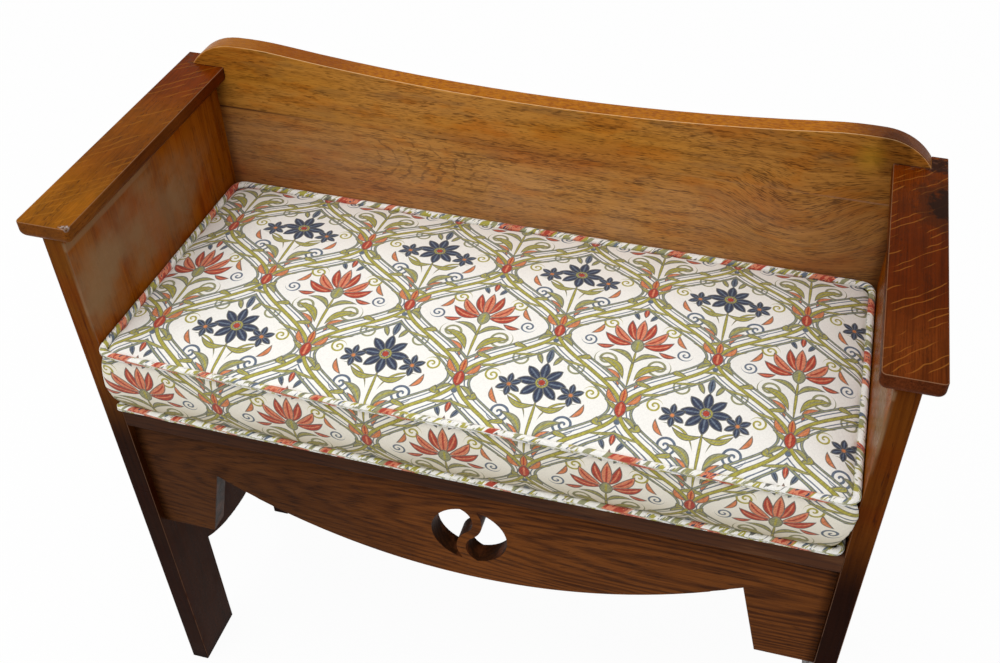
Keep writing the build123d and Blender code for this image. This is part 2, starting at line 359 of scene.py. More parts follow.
def make_ray_fleck():
    """Mask of thin silver-grain lines that cross the grain at a slant, each broken off at its own places."""
    bench, given, result = new_group("ray_fleck", [
        ("v", "Place", ORIGIN), ("f", "Slant", 0.8), ("f", "Spacing", 0.015), ("f", "Thickness", 0.0011),
        ("f", "Share", 0.5)], [("f", "Mask")])
    turned = given["Place"].turn(given["Slant"])
    along, across = turned.split()[:2]
    sway = (given["Place"] * (26, 26, 26)).noise()
    row = (sway * 0.015 + across) / given["Spacing"]
    number = row.floor()
    off = abs(row.fract() - 0.5) * given["Spacing"]
    reach = bench.join(along * 19.0, number * 7.31).noise(1)
    gate = 0.62 - given["Share"] * 0.22
    shown = reach.step(gate, gate + 0.07)
    swell = given["Thickness"] * (shown * 0.6 + 0.2)
    line = off.step(swell, swell * 0.4)
    bench.feed(result["Mask"], line * shown)


def make_wax_bloom():
    """Cloudy wax: a roughness that varies, higher in duller patches."""
    bench, given, result = new_group("wax_bloom", [
        ("v", "Place", ORIGIN), ("f", "Gloss", 0.3), ("f", "Patch Size", 0.06)], [("f", "Roughness")])
    scale = 1.0 / given["Patch Size"]
    cloud = (given["Place"] * scale).noise(4, 0.6)
    smear = (given["Place"] * (30, 260, 260)).noise()
    mask = cloud.step(0.42, 0.66)
    rough = mask * 0.14 + given["Gloss"]
    bench.feed(result["Roughness"], ((smear - 0.5) * 0.12 + rough).clamped())


def make_spot():
    """Mask of an irregular spot round Centre, in metres."""
    bench, given, result = new_group("spot", [
        ("v", "Place", ORIGIN), ("v", "Centre", ORIGIN), ("v", "Stretch", (1, 1, 1)), ("f", "Reach", 0.02),
        ("f", "Ragged", 0.5)], [("f", "Mask")])
    away = (given["Place"] - given["Centre"]) * given["Stretch"]
    distance = away.length() / given["Reach"]
    edge = (given["Place"] * 95.0).noise(4, 0.65)
    distance = (edge - 0.5) * given["Ragged"] * 3.0 + distance
    bench.feed(result["Mask"], distance.step(1.1, 0.7))


class Coat:
    """A material in the making: its shader, the point on the object and the colour laid so far."""

    def __init__(self, name, colour=None):
        self.material = bpy.data.materials.new(name)
        self.material.use_nodes = True
        self.material.node_tree.nodes.clear()
        self.bench = Bench(self.material.node_tree)
        self.shader = self.bench.put("ShaderNodeBsdfPrincipled")
        self.surface = self.bench.put("ShaderNodeOutputMaterial").inputs["Surface"]
        self.bench.feed(self.surface, self.shader.outputs[0])
        self.place = self.bench.read("ShaderNodeTexCoord", "Object")
        self.colour = colour

    def facing(self):
        """The surface's direction on the object."""
        return self.bench.read("ShaderNodeTexCoord", "Normal").split()

    def paint(self, amount, dye):
        """Lays a colour over the last one."""
        self.colour = self.bench.mix(amount, self.colour, dye)

    def tint(self, amount, dye):
        """Multiplies the colour by another."""
        self.colour = self.bench.mix(amount, self.colour, dye, "MULTIPLY")

    def shade(self, amount):
        """Multiplies the colour by a brightness."""
        self.tint(1.0, self.bench.join(amount, amount, amount))

    def oak(self, grain, pale, deep, pores, rings, shape, pore, cloud):
        """Lays oak: rings are spacing, contrast and sharpness; shape is arch, heart and waver; pore is amount,
        length, width and depth. Gives the wood's height."""
        labels = ("Ring Spacing", "Ring Contrast", "Ring Sharpness", "Arch", "Heart", "Waver", "Pore Amount",
                  "Pore Length", "Pore Width", "Pore Depth")
        wood = self.bench.group("oak_grain", Place=grain, Pale=pale, Deep=deep, Pores=pores, Cloud=cloud,
                                **dict(zip(labels, (*rings, *shape, *pore))))
        self.colour = wood["Colour"]
        return wood["Height"]

    def spot(self, centre, stretch, reach, ragged):
        return self.bench.group("spot", Place=self.place, Centre=centre, Stretch=stretch, Reach=reach,
                                Ragged=ragged)["Mask"]

    # Mask of the rubbed arrises, where pale wear and a painted highlight are laid.
    def wear_and_highlight(self, across, breakup, narrow=0.6):
        return self.bench.group("arris_wear", Place=self.place, Across=across, Breakup=breakup,
                                Narrow=narrow)["Mask"]

    def close(self, roughness, height, strength, depth, **constants):
        """Feeds the shader its colour, roughness, relief and constant sockets."""
        bump = self.bench.fill(self.bench.put("ShaderNodeBump"), Strength=strength, Distance=depth,
                               Height=height)
        self.bench.fill(self.shader, Base_Color=self.colour, Roughness=roughness, Normal=bump[0], **constants)
        return self.material

    def waxed(self, grain, height, gloss, patch, strength, specular):
        """Closes a board that is rubbed with amber wax."""
        bloom = self.bench.group("wax_bloom", Place=grain, Gloss=gloss, Patch_Size=patch)
        return self.close(bloom["Roughness"], height, strength, GRAIN_DEPTH, Specular_IOR_Level=specular,
                          Specular_Tint=AMBER)


def grain_place(bench, place, order, shift):
    """Place with the grain along X, moved so that no two boards are alike."""
    parts = place.split()
    turned = bench.join(*[parts["xyz".index(letter)] for letter in order])
    return turned + shift


def flame_arches(bench, place):
    """Mask of nested arches where the lower back board was sawn through a bulge in the tree."""
    x, y, z = place.split()
    high = z - 0.615
    far = (x + 0.26) * 0.42
    sway = (place * (70, 70, 150)).noise()
    turns = bench.join(far, high).length() / 0.0074
    turns = sway * 1.1 + turns
    line = turns.pingpong(0.5).step(0.13, 0.03)
    broken = (place * (150, 150, 420)).noise().step(0.4, 0.56)
    here = x.step(-0.22, -0.18) * x.step(-0.02, -0.09)
    here = here * abs(high).step(0.036, 0.018)
    here = here * y.step(back_face + 0.004, back_face + 0.001)
    return line * broken * here * 0.6


def back_material(name, crest):
    """Golden waxed oak of the back, with the glue line between its two boards, painted shade in the corners
    under the arms and above the seat, and a rubbed crest front arris with a painted highlight.
    """
    oak = bpy.context.scene.settle_back
    coat = Coat(name)
    bench, place = coat.bench, coat.place
    x, z = place.split()[::2]
    knot = (0.335, back_face, 0.618)
    swirl = place - knot
    near = (swirl * (0.75, 0, 1.3)).length().step(0.12, 0.0)
    bent = place.turn(near * 0.7, "Y", knot)
    grain = grain_place(bench, bent, "xzy", (0.9, -0.6, 0.02) if crest else (0.2, -0.52, 0.05))
    calm = (z * -0.8 + x).step(-0.58, -0.78)
    pores = bench.mix(calm, oak.pores, (0.2, 0.085, 0.022))
    height = coat.oak(grain, oak.pale, oak.deep, pores, (oak.ring_spacing, 0.24, 1.8),
                    (0.05, 0.02, 1.6), (0.88, 0.0085, 0.00065, 0.82), 0.4)
    warm = (grain * (19, 52, 52)).noise(3, 0.6)
    coat.tint(warm.step(0.5, 0.66, 0.0, 0.6), (0.98, 0.76, 0.45))
    ashy = (grain * (15, 64, 41)).noise(3, 0.6)
    coat.paint(ashy.step(0.52, 0.68, 0.0, 0.4), (0.27, 0.14, 0.06))
    mark = (grain * (46, 260, 260)).noise(3, 0.7)
    coat.tint(mark.step(0.6, 0.68, 0.0, 0.75), (0.4, 0.36, 0.4))
    if not crest:
        coat.paint(flame_arches(bench, place), (0.13, 0.055, 0.02))
    gold = (place * (4, 4, 14)).noise()
    gold = z.step(joint_line - 0.03, joint_line + 0.035) * gold.step(0.36, 0.58, 0.3, 0.85)
    coat.tint(gold, (0.93, 0.84, 0.42))
    dull = (place * (7, 7, 10)).noise(3, 0.6)
    dull = z.step(joint_line + 0.02, joint_line - 0.05) * dull.step(0.36, 0.6, 0.25, 0.9)
    coat.paint(dull * 0.14, (0.62, 0.42, 0.3))
    red = (place * (5, 5, 12)).noise()
    red = red.step(0.48, 0.66, 0.0, 0.5 if crest else 0.65)
    coat.tint(red, (0.86, 0.64, 0.6))
    left = x.step(-0.12, -0.34, 0.0, 0.6)
    coat.tint(left, (0.9, 0.84, 0.5) if crest else (0.78, 0.72, 0.7))
    right = x.step(0.22, 0.36, 0.0, 0.75)
    coat.tint(right, (0.68, 0.62, 0.5))
    line = abs(z - joint_line).step(0.0016, 0.0003)
    line = line * x.step(-0.25, -0.33, 0.12, 0.9).maximum(x.step(0.26, 0.32, 0.0, 0.4))
    coat.paint(line, bench.mix(x.step(0.1, 0.2), (0.08, 0.03, 0.014), (0.34, 0.2, 0.13)))
    # Painted shade in the corners between the back and the side panels, below the arm tops.
    corner = abs(x).step(inner_face - 0.014, inner_face, 0.0, 0.75)
    corner = corner * z.step(arm_top, arm_top - 0.02)
    coat.tint(corner, (0.3, 0.22, 0.18))
    # Painted shade on the back just above the seat, where the cushion meets it.
    low = z.step(seat_top + 0.13, seat_top + 0.06, 0.0, 0.2)
    coat.tint(low, (0.5, 0.4, 0.34))
    if crest:
        facing = coat.facing()
        top = facing[2].step(0.45, 0.75)
        stroke = (place * (180, 500, 60)).noise()
        edge = bench.mix(stroke.step(0.35, 0.7), (0.4, 0.135, 0.006), (0.25, 0.068, 0.004))
        ruddy = abs(x + 0.262).step(0.09, 0.03, 0.0, 0.7)
        edge = bench.mix(ruddy, edge, (0.19, 0.044, 0.003))
        edge = bench.mix(x.step(-0.28, -0.34, 0.0, 0.6), edge, (0.26, 0.09, 0.006))
        edge = bench.mix(x.step(0.28, 0.345, 0.0, 0.85), edge, (0.075, 0.016, 0.004))
        coat.paint(top, edge)
        front = facing[1].step(-0.7, -0.9)
        smudge = coat.spot((0.352, back_face, 0.712), (1, 1, 0.6), 0.019, 0.35)
        coat.tint(smudge * 0.55, (0.3, 0.24, 0.2))
        olive = (place - (0.331, 0, 0.704)) * (1, 0, 0.8)
        olive = olive.length().step(0.022, 0.0, 0.0, 0.5)
        coat.paint(olive * front, (0.4, 0.21, 0.014))
        # Rubbed front arris of the crest, with a painted highlight laid as a pale line.
        wear_and_highlight = coat.wear_and_highlight((0, 1, 0), 0.45, 0.86)
        wear_and_highlight = wear_and_highlight * facing[1].step(0.0, -0.2)
        wear_and_highlight = wear_and_highlight * abs(x).step(0.35, 0.29, 0.3, 0.62)
        coat.paint(wear_and_highlight, oak.wear_and_highlight)
    return coat.waxed(grain, height, 0.3, 0.09, 0.35, 0.04)


def arm_material(name, left):
    """Red-brown quarter-sawn oak with ray flecks; the left arm has faded to gold in front. Greyish marks by the
    back are a painted reflection, and the rubbed upper arrises carry a painted highlight.
    """
    oak = bpy.context.scene.settle_arm
    coat = Coat(name)
    bench, place = coat.bench, coat.place
    y, z = place.split()[1:]
    grain = grain_place(bench, place, "yxz", (1.4, 0.1, 0.2) if left else (0.3, -0.2, 0.1))
    pale, deep = oak.pale, oak.deep
    if left:
        front, rear = y.step(-0.03, -0.13), y.step(0.02, 0.11)
        pale = bench.mix(rear, bench.mix(front, (0.16, 0.046, 0.003), oak.golden), (0.125, 0.022, 0.0008))
        deep = bench.mix(front, (0.085, 0.022, 0.0015), (0.125, 0.038, 0.002))
        deep = bench.mix(rear, deep, (0.06, 0.01, 0.0006))
    else:
        pale = bench.mix(y.step(-0.05, -0.13), oak.pale, (0.125, 0.027, 0.0035))
        pale = bench.mix(y.step(0.02, 0.1), pale, (0.11, 0.02, 0.001))
    height = coat.oak(grain, pale, deep, (0.035, 0.009, 0.002), (0.004, 0.1, 1.5),
                    (0.01, 0.3, 0.4), (0.6, 0.006, 0.0009, 0.6), 0.5)
    mottle = (place * (60, 34, 30)).noise(4, 0.7).step(0.34, 0.66)
    coat.tint(mottle, (1.25, 1.2, 1.1) if left else (1.25, 1.2, 1.2))
    upward = coat.facing()[2].step(0.6, 0.95)
    coat.tint(1.0 - upward, (0.72, 0.66, 1.5) if left else (0.9, 1.0, 2.0))
    slant, spacing, thickness = (-0.82, 0.0085, 0.0013) if left else (-0.74, 0.0079, 0.001)
    fleck = bench.group("ray_fleck", Place=place, Slant=slant, Spacing=spacing, Thickness=thickness,
                        Share=0.75 if left else y.step(0.02, -0.09, 0.85, 0.4))["Mask"]
    fleck = fleck * upward * (0.3 if left else 0.45)
    coat.paint(fleck, (0.36, 0.14, 0.014) if left else oak.fleck)
    if left:
        chip = coat.spot((-0.3575, arm_front + 0.0035, arm_top), (0.7, 1, 1), 0.0042, 0.7)
        bare = bench.mix((place * 420.0).noise().step(0.42, 0.58), (0.11, 0.06, 0.035), (0.36, 0.31, 0.29))
        coat.paint(chip * 0.85, bare)
    else:
        halo = coat.spot((0.402, 0.085, arm_top), (0.8, 0.55, 1), 0.024, 0.5)
        coat.paint(halo * 0.6, (0.035, 0.01, 0.003))
        stain = coat.spot((0.405, 0.084, arm_top), (0.9, 0.62, 1), 0.016, 0.55)
        stain = stain.maximum(coat.spot((0.396, 0.15, arm_top), (0.7, 0.8, 1), 0.011, 0.6))
        coat.paint(stain * 0.85, oak.stain)
    gap = abs(y - back_face).step(0.0024, 0.0006)
    edge = (place * 60.0).noise(3)
    coat.paint(gap * edge.step(0.35, 0.6), (0.03, 0.01, 0.005))
    # Painted reflection: greyish marks at the rear ends of the arms, by the back.
    rear_reflection = y.step(back_face - 0.014, back_face - 0.001)
    rear_reflection = rear_reflection * (place * 130.0).noise(3, 0.7).step(0.52, 0.62)
    coat.paint(rear_reflection * 0.6, (0.09, 0.035, 0.02))
    # Rubbed upper arrises of the arm, with a painted highlight.
    wear_and_highlight = coat.wear_and_highlight((0, 0, 1), 0.5)
    wear_and_highlight = wear_and_highlight * z.step(arm_top - 0.004, arm_top - 0.0012)
    coat.paint(wear_and_highlight * 0.5, oak.wear_and_highlight)
    return coat.waxed(grain, height, 0.32, 0.05, 0.3, 0.02)


def panel_material(name, left):
    """Red-brown waxed oak of a side panel, with a cloudy painted reflection of the cushion above the seat, and
    painted shade that darkens the legs and the front and back edges.
    """
    oak = bpy.context.scene.settle_panel
    coat = Coat(name)
    bench, place = coat.bench, coat.place
    x, y, z = place.split()
    grain = grain_place(bench, place, "zyx", (0.7, 0.04, 0.6) if left else (2.1, -0.1, 0.1))
    # Painted shade: the panel darkens below the seat to the leg colour, on the outside faces in a softer
    # gradient towards the floor.
    outside = abs(x).step(outer_face - 0.0014, outer_face - 0.0004)
    low = z.step(seat_top + 0.07, seat_top - 0.06)
    outer_shade_low = z.step(seat_top + 0.24, seat_top - 0.4, 0.0, 0.78)
    low = (outer_shade_low - low) * outside + low
    pale = bench.mix(low, oak.pale, oak.leg_shade)
    deep = bench.mix(low, oak.deep, (0.02, 0.005, 0.001))
    height = coat.oak(grain, pale, deep, (0.03, 0.011, 0.005), (0.008, 0.35, 2.0),
                    (0.06, 0.02, 1.2), (0.5, 0.012, 0.0013, 0.5), 0.5)
    facing = coat.facing()
    # Painted shade on the panels' front and back edges.
    edge = abs(facing[1]).step(0.5, 0.9, 0.0, 0.7)
    coat.tint(edge, (0.4, 0.56, 1.6) if left else (0.2, 0.2, 0.95))
    ruddy = (place * (8, 14, 10)).noise(2, 0.6).step(0.46, 0.62, 0.0, 0.7)
    coat.tint(ruddy, (0.95, 0.62, 0.45))
    # Painted reflection of the cushion on the panels' inner faces: a cloudy band above the seat and a pale
    # highlight strip under the arm.
    cloud = (place * (1, 9, 11)).noise(4, 0.6)
    drift = (place * (1, 17, 17)).noise(3, 0.6)
    drift = drift * 0.16 + -0.08
    band = abs(z - 0.62) + drift
    band = band.step(0.075, 0.0) * (y + drift).step(0.12, 0.0)
    cushion_reflection = band * cloud.step(0.3, 0.62, 0.35, 0.9)
    highlight_strip = abs(z - 0.673).step(0.0075, 0.003) * y.step(0.02, -0.03, 0.0, 0.75)
    cushion_reflection = cushion_reflection.maximum(highlight_strip)
    cushion_reflection = cushion_reflection * abs(x).step(inner_face + 0.004, inner_face + 0.001)
    coat.paint(cushion_reflection, oak.bloom)
    # Rubbed arrises of the panel, with a painted highlight.
    wear_and_highlight = coat.wear_and_highlight((1, 0, 0), 0.62)
    coat.paint(wear_and_highlight * 0.5, (0.22, 0.12, 0.075))
    foot = z.step(0.02, 0.002, 0.0, 0.6)
    coat.tint(foot, (0.35, 0.3, 0.28))
    return coat.waxed(place, height, 0.26, 0.05, 0.3, 0.012)


def apron_material():
    """Brown oak of the apron: plain grain on the left, flame grain on the right, dark sawn walls, painted shade
    under the seat and at its ends beside the panels, and rubbed arrises with a painted highlight.
    """
    oak = bpy.context.scene.settle_apron
    coat = Coat("apron_waxed_oak")
    bench, place = coat.bench, coat.place
    x, z = place.split()[::2]
    grain = grain_place(bench, place, "xzy", (-0.24, -0.378, 0.16))
    contrast = x.step(-0.2, 0.12, 0.3, 0.62)
    height = coat.oak(grain, oak.pale, oak.deep, oak.pores, (0.0043, contrast, 1.7),
                    (0.15, 0.0, 0.6), (0.7, 0.012, 0.0009, 0.6), 0.45)
    facing = coat.facing()
    sawn = abs(facing[1]).step(0.35, 0.1)
    red = bench.mix((place * 55.0).noise(3).step(0.45, 0.62), (0.014, 0.006, 0.004), (0.1, 0.03, 0.012))
    coat.paint(sawn * 0.8, red)
    # Rubbed arrises of the apron, with a painted highlight.
    wear_and_highlight = coat.wear_and_highlight((0, 1, 0), 0.55)
    coat.paint(wear_and_highlight * 0.35, (0.2, 0.1, 0.055))
    # Painted shade along the top of the apron, under the seat board and cushion.
    high = z.step(0.405, 0.438, 0.0, 0.5)
    coat.tint(high, (0.45, 0.4, 0.38))
    dark = x.step(0.0, -0.24, 0.0, 1.0)
    coat.tint(dark, (0.56, 0.62, 0.8))
    # Painted shade at the apron's ends, in the recess beside the side panels.
    end_shade = abs(x).step(inner_face - 0.012, inner_face - 0.001, 0.0, 0.7)
    coat.tint(end_shade, (0.3, 0.25, 0.22))
    return coat.waxed(grain, height, 0.34, 0.07, 0.35, 0.015)


def seat_material():
    """Dark, little waxed oak of the seat board, with rubbed patches on its front edge."""
    oak = bpy.context.scene.settle_apron
    coat = Coat("seat_dark_oak")
    bench, place = coat.bench, coat.place
    x = place.split()[0]
    grain = grain_place(bench, place, "xyz", (4.2, 0.12, 0.3))
    height = coat.oak(grain, oak.seat, (0.04, 0.018, 0.012), (0.014, 0.008, 0.007), (0.007, 0.5, 2.0),
                    (0.04, 0.02, 1.0), (0.5, 0.014, 0.0013, 0.5), 0.6)
    rub = (place * (12, 40, 90)).noise(3, 0.6)
    rub = rub.step(0.52, 0.66) * x.step(0.0, 0.3, 0.15, 0.6)
    dark = x.step(0.22, -0.1, 0.0, 0.5)
    coat.tint(dark, (0.4, 0.4, 0.42))
    coat.paint(rub, (0.13, 0.055, 0.024))
    return coat.waxed(grain, height, 0.42, 0.06, 0.4, 0.025)


def plain_timber(name, order, pale, deep, ring, pore, gloss):
    """Beech or pine for the hidden dowels and blocks."""
    coat = Coat(name)
    bench, place = coat.bench, coat.place
    grain = grain_place(bench, place, order, (0.4, 0.3, 0.2))
    height = coat.oak(grain, pale, deep, (0.24, 0.13, 0.07), (ring, 0.7, 1.6),
                    (0.03, 0.05, 0.5), (pore, 0.004, 0.0007, 0.5), 0.4)
    bloom = bench.group("wax_bloom", Place=grain, Gloss=gloss, Patch_Size=0.03)
    return coat.close(bloom["Roughness"], height, 0.4, GRAIN_DEPTH)


def screw_material():
    """Dull steel with brown tarnish."""
    coat = Coat("screw_dull_steel")
    spots = (coat.place * 900.0).noise(4, 0.6)
    marks = (coat.place * (4000, 300, 700)).noise()
    rust = spots.step(0.5, 0.64)
    coat.colour = coat.bench.mix(marks, (0.13, 0.12, 0.115), (0.23, 0.22, 0.21))
    coat.paint(rust, (0.13, 0.06, 0.03))
    return coat.close(rust * 0.4 + 0.36, spots, 0.3, 0.0001, Metallic=1.0 - rust * 0.85)


def finish(node, material):
    """Gives a CAD node its material."""
    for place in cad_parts[node].material_slots:
        place.material = material


# The cloth's pattern, in millimetres

def make_petal():
    """Distance from a pointed leaf or petal: negative inside, also how far along it the point is."""
    bench, given, result = new_group("petal", [
        ("v", "Place", ORIGIN), ("v", "Centre", ORIGIN), ("f", "Turn", 0.0), ("f", "Length", 10.0),
        ("f", "Width", 3.0), ("f", "Bend", 0.0)], [("f", "Distance"), ("f", "Side")])
    local = (given["Place"] - given["Centre"]).turn(given["Turn"] * -1.0)
    x, y = local.split()[:2]
    y = x * x * given["Bend"] + y
    squares = given["Length"] * given["Length"] + given["Width"] * given["Width"]
    radius = squares / (given["Width"] * 2.0)
    shift = radius - given["Width"]
    far = bench.join(x, abs(y) + shift).length()
    bench.feed(result["Distance"], far - radius)
    bench.feed(result["Side"], y)


def make_dye():
    """Lays one shape with its outline over the cloth."""
    bench, given, result = new_group("dye", [
        ("c", "Under", (1, 1, 1)), ("f", "Distance", 1.0), ("c", "Fill", (0.5, 0.5, 0.5)),
        ("c", "Line", (0.1, 0.1, 0.1)), ("f", "Line Width", 0.5)], [("c", "Colour")])
    inside = given["Distance"].step(0.3, -0.3)
    filled = bench.mix(inside, given["Under"], given["Fill"])
    half = given["Line Width"] * 0.5
    off = abs(given["Distance"] + half)
    rim = off.step(half + 0.25, half - 0.25)
    bench.feed(result["Colour"], bench.mix(rim, filled, given["Line"]))


def make_scroll():
    """Distance from a spiral tendril that winds round Centre."""
    bench, given, result = new_group("scroll", [
        ("v", "Place", ORIGIN), ("v", "Centre", ORIGIN), ("f", "Turn", 0.0), ("f", "Gap", 4.0),
        ("f", "Reach", 8.0)],
        [("f", "Distance")])
    local = (given["Place"] - given["Centre"]).turn(given["Turn"] * -1.0)
    x, y = local.split()[:2]
    angle = y.arctan2(x) / (2 * pi)
    far = local.length()
    arm = far / given["Gap"] - angle
    off = abs(arm.fract() - 0.5)
    off = off * given["Gap"]
    bench.feed(result["Distance"], off.maximum(far - given["Reach"]))


def make_weave():
    """Warp and weft slubs of a fine cloth. Place is on the cloth, in millimetres."""
    bench, given, result = new_group("weave", [("v", "Place", ORIGIN)], [("f", "Shade")])
    warp, weft = [(given["Place"] * stretch).noise(1) for stretch in ((1.7, 0.28, 1), (0.28, 1.7, 1))]
    bench.feed(result["Shade"], warp + weft)


class Printer:
    """Lays the motifs on the cloth one after the other, so that the last lies on top."""

    def __init__(self, bench, cloth):
        self.bench = bench
        self.cloth = cloth
        self.colour = cloth.ground
        self.outline = cloth.outline

    def lay_all(self, place, motifs):
        """Lays a table of motifs, whose words name the cloth's colours."""
        for kind, *values in motifs:
            getattr(self, kind)(place, *[getattr(self.cloth, value) if isinstance(value, str) else value
                                         for value in values])

    def lay(self, distance, fill, line=None, width=0.6):
        self.colour = self.bench.group("dye", Under=self.colour, Distance=distance, Fill=fill,
                                       Line=self.outline if line is None else line, Line_Width=width)["Colour"]

    def petal(self, place, centre, turn, length, width, fill, bend=0.0, vein=None, rim=0.9):
        shape = self.bench.group("petal", Place=place, Centre=(*centre, 0), Turn=radians(turn), Length=length,
                                 Width=width, Bend=bend)
        self.lay(shape["Distance"], fill, None, rim)
        if vein is not None:
            core = (abs(shape["Side"]) - width * 0.16).maximum(shape["Distance"] + width * 0.5)
            self.lay(core, vein, vein, 0.1)

    def ring(self, place, centre, radius, width, fill):
        far = place.distance((*centre, 0))
        off = abs(far - radius)
        self.lay(off - width, fill)

    def dot(self, place, centre, radius, fill):
        self.lay(place.distance((*centre, 0)) - radius, fill)

    def scroll(self, place, centre, turn, gap, reach, width, fill):
        far = self.bench.group("scroll", Place=place, Centre=(*centre, 0), Turn=radians(turn), Gap=gap,
                               Reach=reach)
        self.lay(far["Distance"] - width, fill, fill)


def rosette_fold(bench, place, centre, petals):
    """Folds the cloth round a centre, so that one petal drawn along X is seen all round."""
    local = place - (*centre, 0)
    x, y = local.split()[:2]
    far = local.length()
    angle = (x.arctan2(y) + 2 * pi).pingpong(pi / petals)
    return bench.join(far * angle.cosine(),
                      far * angle.sine())


def lay_trellis(bench, printer, cloth, fold, y, column, repeat):
    """Leafy stems that swell from one column to the next, each between two ribbons."""
    phase = y * 2 * pi / repeat
    line_x = phase.cosine() * column / 2 + column / 2
    slope = phase.sine() * column * pi / repeat
    stretch = (slope * slope + 1.0).sqrt()
    off = (fold - line_x) / stretch
    away = abs(off)
    ribbon = abs(away - 10.5) - 1.5
    printer.lay(ribbon, cloth.sage, cloth.steel, 0.8)
    thread = abs(away - 6.3) - 0.55
    printer.lay(thread, cloth.steel, cloth.steel, 0.2)
    side = off.greater_than(0.0)
    leaf_step = repeat / 8
    run = side * leaf_step / 2 + y
    run = run.floored_modulo(leaf_step) - leaf_step / 2
    vine = bench.join(run * stretch, away)
    printer.petal(vine, (3.5, 7.0), 50, 9.0, 3.0, cloth.olive, 0.02, cloth.sage)
    printer.lay(away - 2.1, cloth.olive, cloth.outline, 0.6)


# Small flowers where two stems of the trellis meet
KNOT = (
    ("petal", (12, 13), 52, 10, 3.4, "orange", -0.03, "salmon"),
    ("petal", (12, -11), 322, 9, 3.0, "sage", 0.03, "olive"),
    ("petal", (0, 16), 90, 10, 3.8, "orange", 0.0, "coral"),
    ("petal", (0, 1), 90, 10, 5.8, "coral", 0.0, "salmon"),
    ("dot", (0, -14), 2.8, "steel"),
)


# Coral palmette on a leafy stem
PALMETTE = (
    ("scroll", (25, -25), 200, 6.5, 11, 1.25, "sage"),
    ("scroll", (30, 27), 20, 5.5, 8.5, 1.0, "olive"),
    ("scroll", (47, -2), 250, 5.0, 7.0, 0.9, "steel"),
    ("petal", (40, 14), 120, 10, 2.8, "orange", 0.03, "salmon"),
    ("petal", (0, -30), 90, 31, 1.5, "olive", 0.0, None, 0.5),
    ("petal", (12, -44), 52, 13, 3.4, "orange", 0.03, "salmon"),
    ("petal", (15, -30), 38, 18, 4.4, "olive", 0.022, "sage"),
    ("petal", (10, -13), 28, 15, 3.4, "sage", 0.03, "olive"),
    ("petal", (30, -8), 350, 9, 3.0, "coral", -0.03, "salmon"),
    ("petal", (21, 2), 20, 16, 5.2, "coral", -0.02, "salmon"),
    ("petal", (18, 12), 46, 16, 5.2, "salmon", -0.015, "coral"),
    ("petal", (9, 20), 71, 16, 4.8, "coral", -0.01, "salmon"),
    ("petal", (0, 21), 90, 18, 5.4, "salmon", 0.0, "coral"),
    ("petal", (0, 0), 90, 10, 6.4, "sage", 0.0, "olive"),
    ("petal", (9, 44), 60, 7, 2.6, "steel", 0.0, "navy"),
    ("petal", (0, 50), 90, 8, 3.0, "coral", 0.0, "salmon"),
)


# Stem, leaves and curls of the rosettes
ROSETTE_STEM = (
    ("scroll", (31, -28), 150, 6.0, 10, 1.2, "steel"),
    ("scroll", (26, 38), 330, 5.5, 8.5, 1.0, "sage"),
    ("scroll", (48, 12), 60, 5.0, 7.0, 0.9, "olive"),
    ("petal", (42, -12), 60, 10, 2.8, "orange", -0.03, "salmon"),
    ("petal", (0, -30), 90, 31, 1.5, "olive", 0.0, None, 0.5),
    ("petal", (17, -10), 38, 20, 1.3, "olive", 0.02, None, 0.5),
    ("petal", (11, -46), 60, 12, 3.2, "orange", 0.03, "salmon"),
    ("petal", (14, -33), 42, 16, 4.2, "sage", 0.022, "olive"),
    ("petal", (15, -16), 10, 15, 3.4, "olive", -0.03, "sage"),
)

# Buds above the rosettes, laid last
ROSETTE_BUDS = (
    ("petal", (9, 42), 64, 8, 2.8, "sage", 0.0, "olive"),
    ("petal", (0, 46), 90, 10, 3.6, "steel", 0.0, "navy"),
)

# One eighth of the navy rosette
ROSETTE = (
    ("petal", (13.5, 0), 0, 10.5, 4.9, "navy", 0.0, "steel"),
    ("ring", (0, 0), 5.2, 1.2, "olive"),
    ("dot", (0, 0), 3.6, "coral"),
)

# One sixth of a smaller rosette
SMALL_ROSETTE = (
    ("petal", (7, 0), 0, 6.4, 3.3, "navy", 0.0, "steel"),
    ("dot", (0, 0), 2.4, "orange"),
)


def cloth_pattern(bench, place):
    """Colours of the cloth: a trellis whose cells hold coral palmettes and navy rosettes in turn."""
    cloth = bpy.context.scene.settle_cushion
    column, repeat = cloth.column * MILLIMETRES, cloth.repeat * MILLIMETRES
    x, y = place.split()[:2]
    fold = x.pingpong(column)
    back = column - fold
    rise = y.wrap(repeat / 2, -repeat / 2)
    sink = (y + repeat / 2).wrap(repeat / 2, -repeat / 2)
    printer = Printer(bench, cloth)
    printer.lay_all(bench.join(fold, rise), PALMETTE)
    middle = bench.join(back, sink)
    printer.lay_all(middle, ROSETTE_STEM)
    printer.lay_all(rosette_fold(bench, middle, (0, 13), 8), ROSETTE)
    printer.lay_all(rosette_fold(bench, middle, (30, 5), 6), SMALL_ROSETTE)
    printer.lay_all(middle, ROSETTE_BUDS)
    lay_trellis(bench, printer, cloth, fold, y, column, repeat)
    printer.lay_all(bench.join(fold, sink), KNOT)
    printer.lay_all(bench.join(back, rise), KNOT)
    return printer.colour


def cloth_coat(name, colour):
    """A coat for printed cotton, with the place on the cloth in millimetres and the cloth's weave."""
    coat = Coat(name, colour)
    place = coat.bench.read("ShaderNodeUVMap", 0, uv_map="cloth") * MILLIMETRES
    return coat, coat.bench, place, coat.bench.group("weave", Place=place)["Shade"]


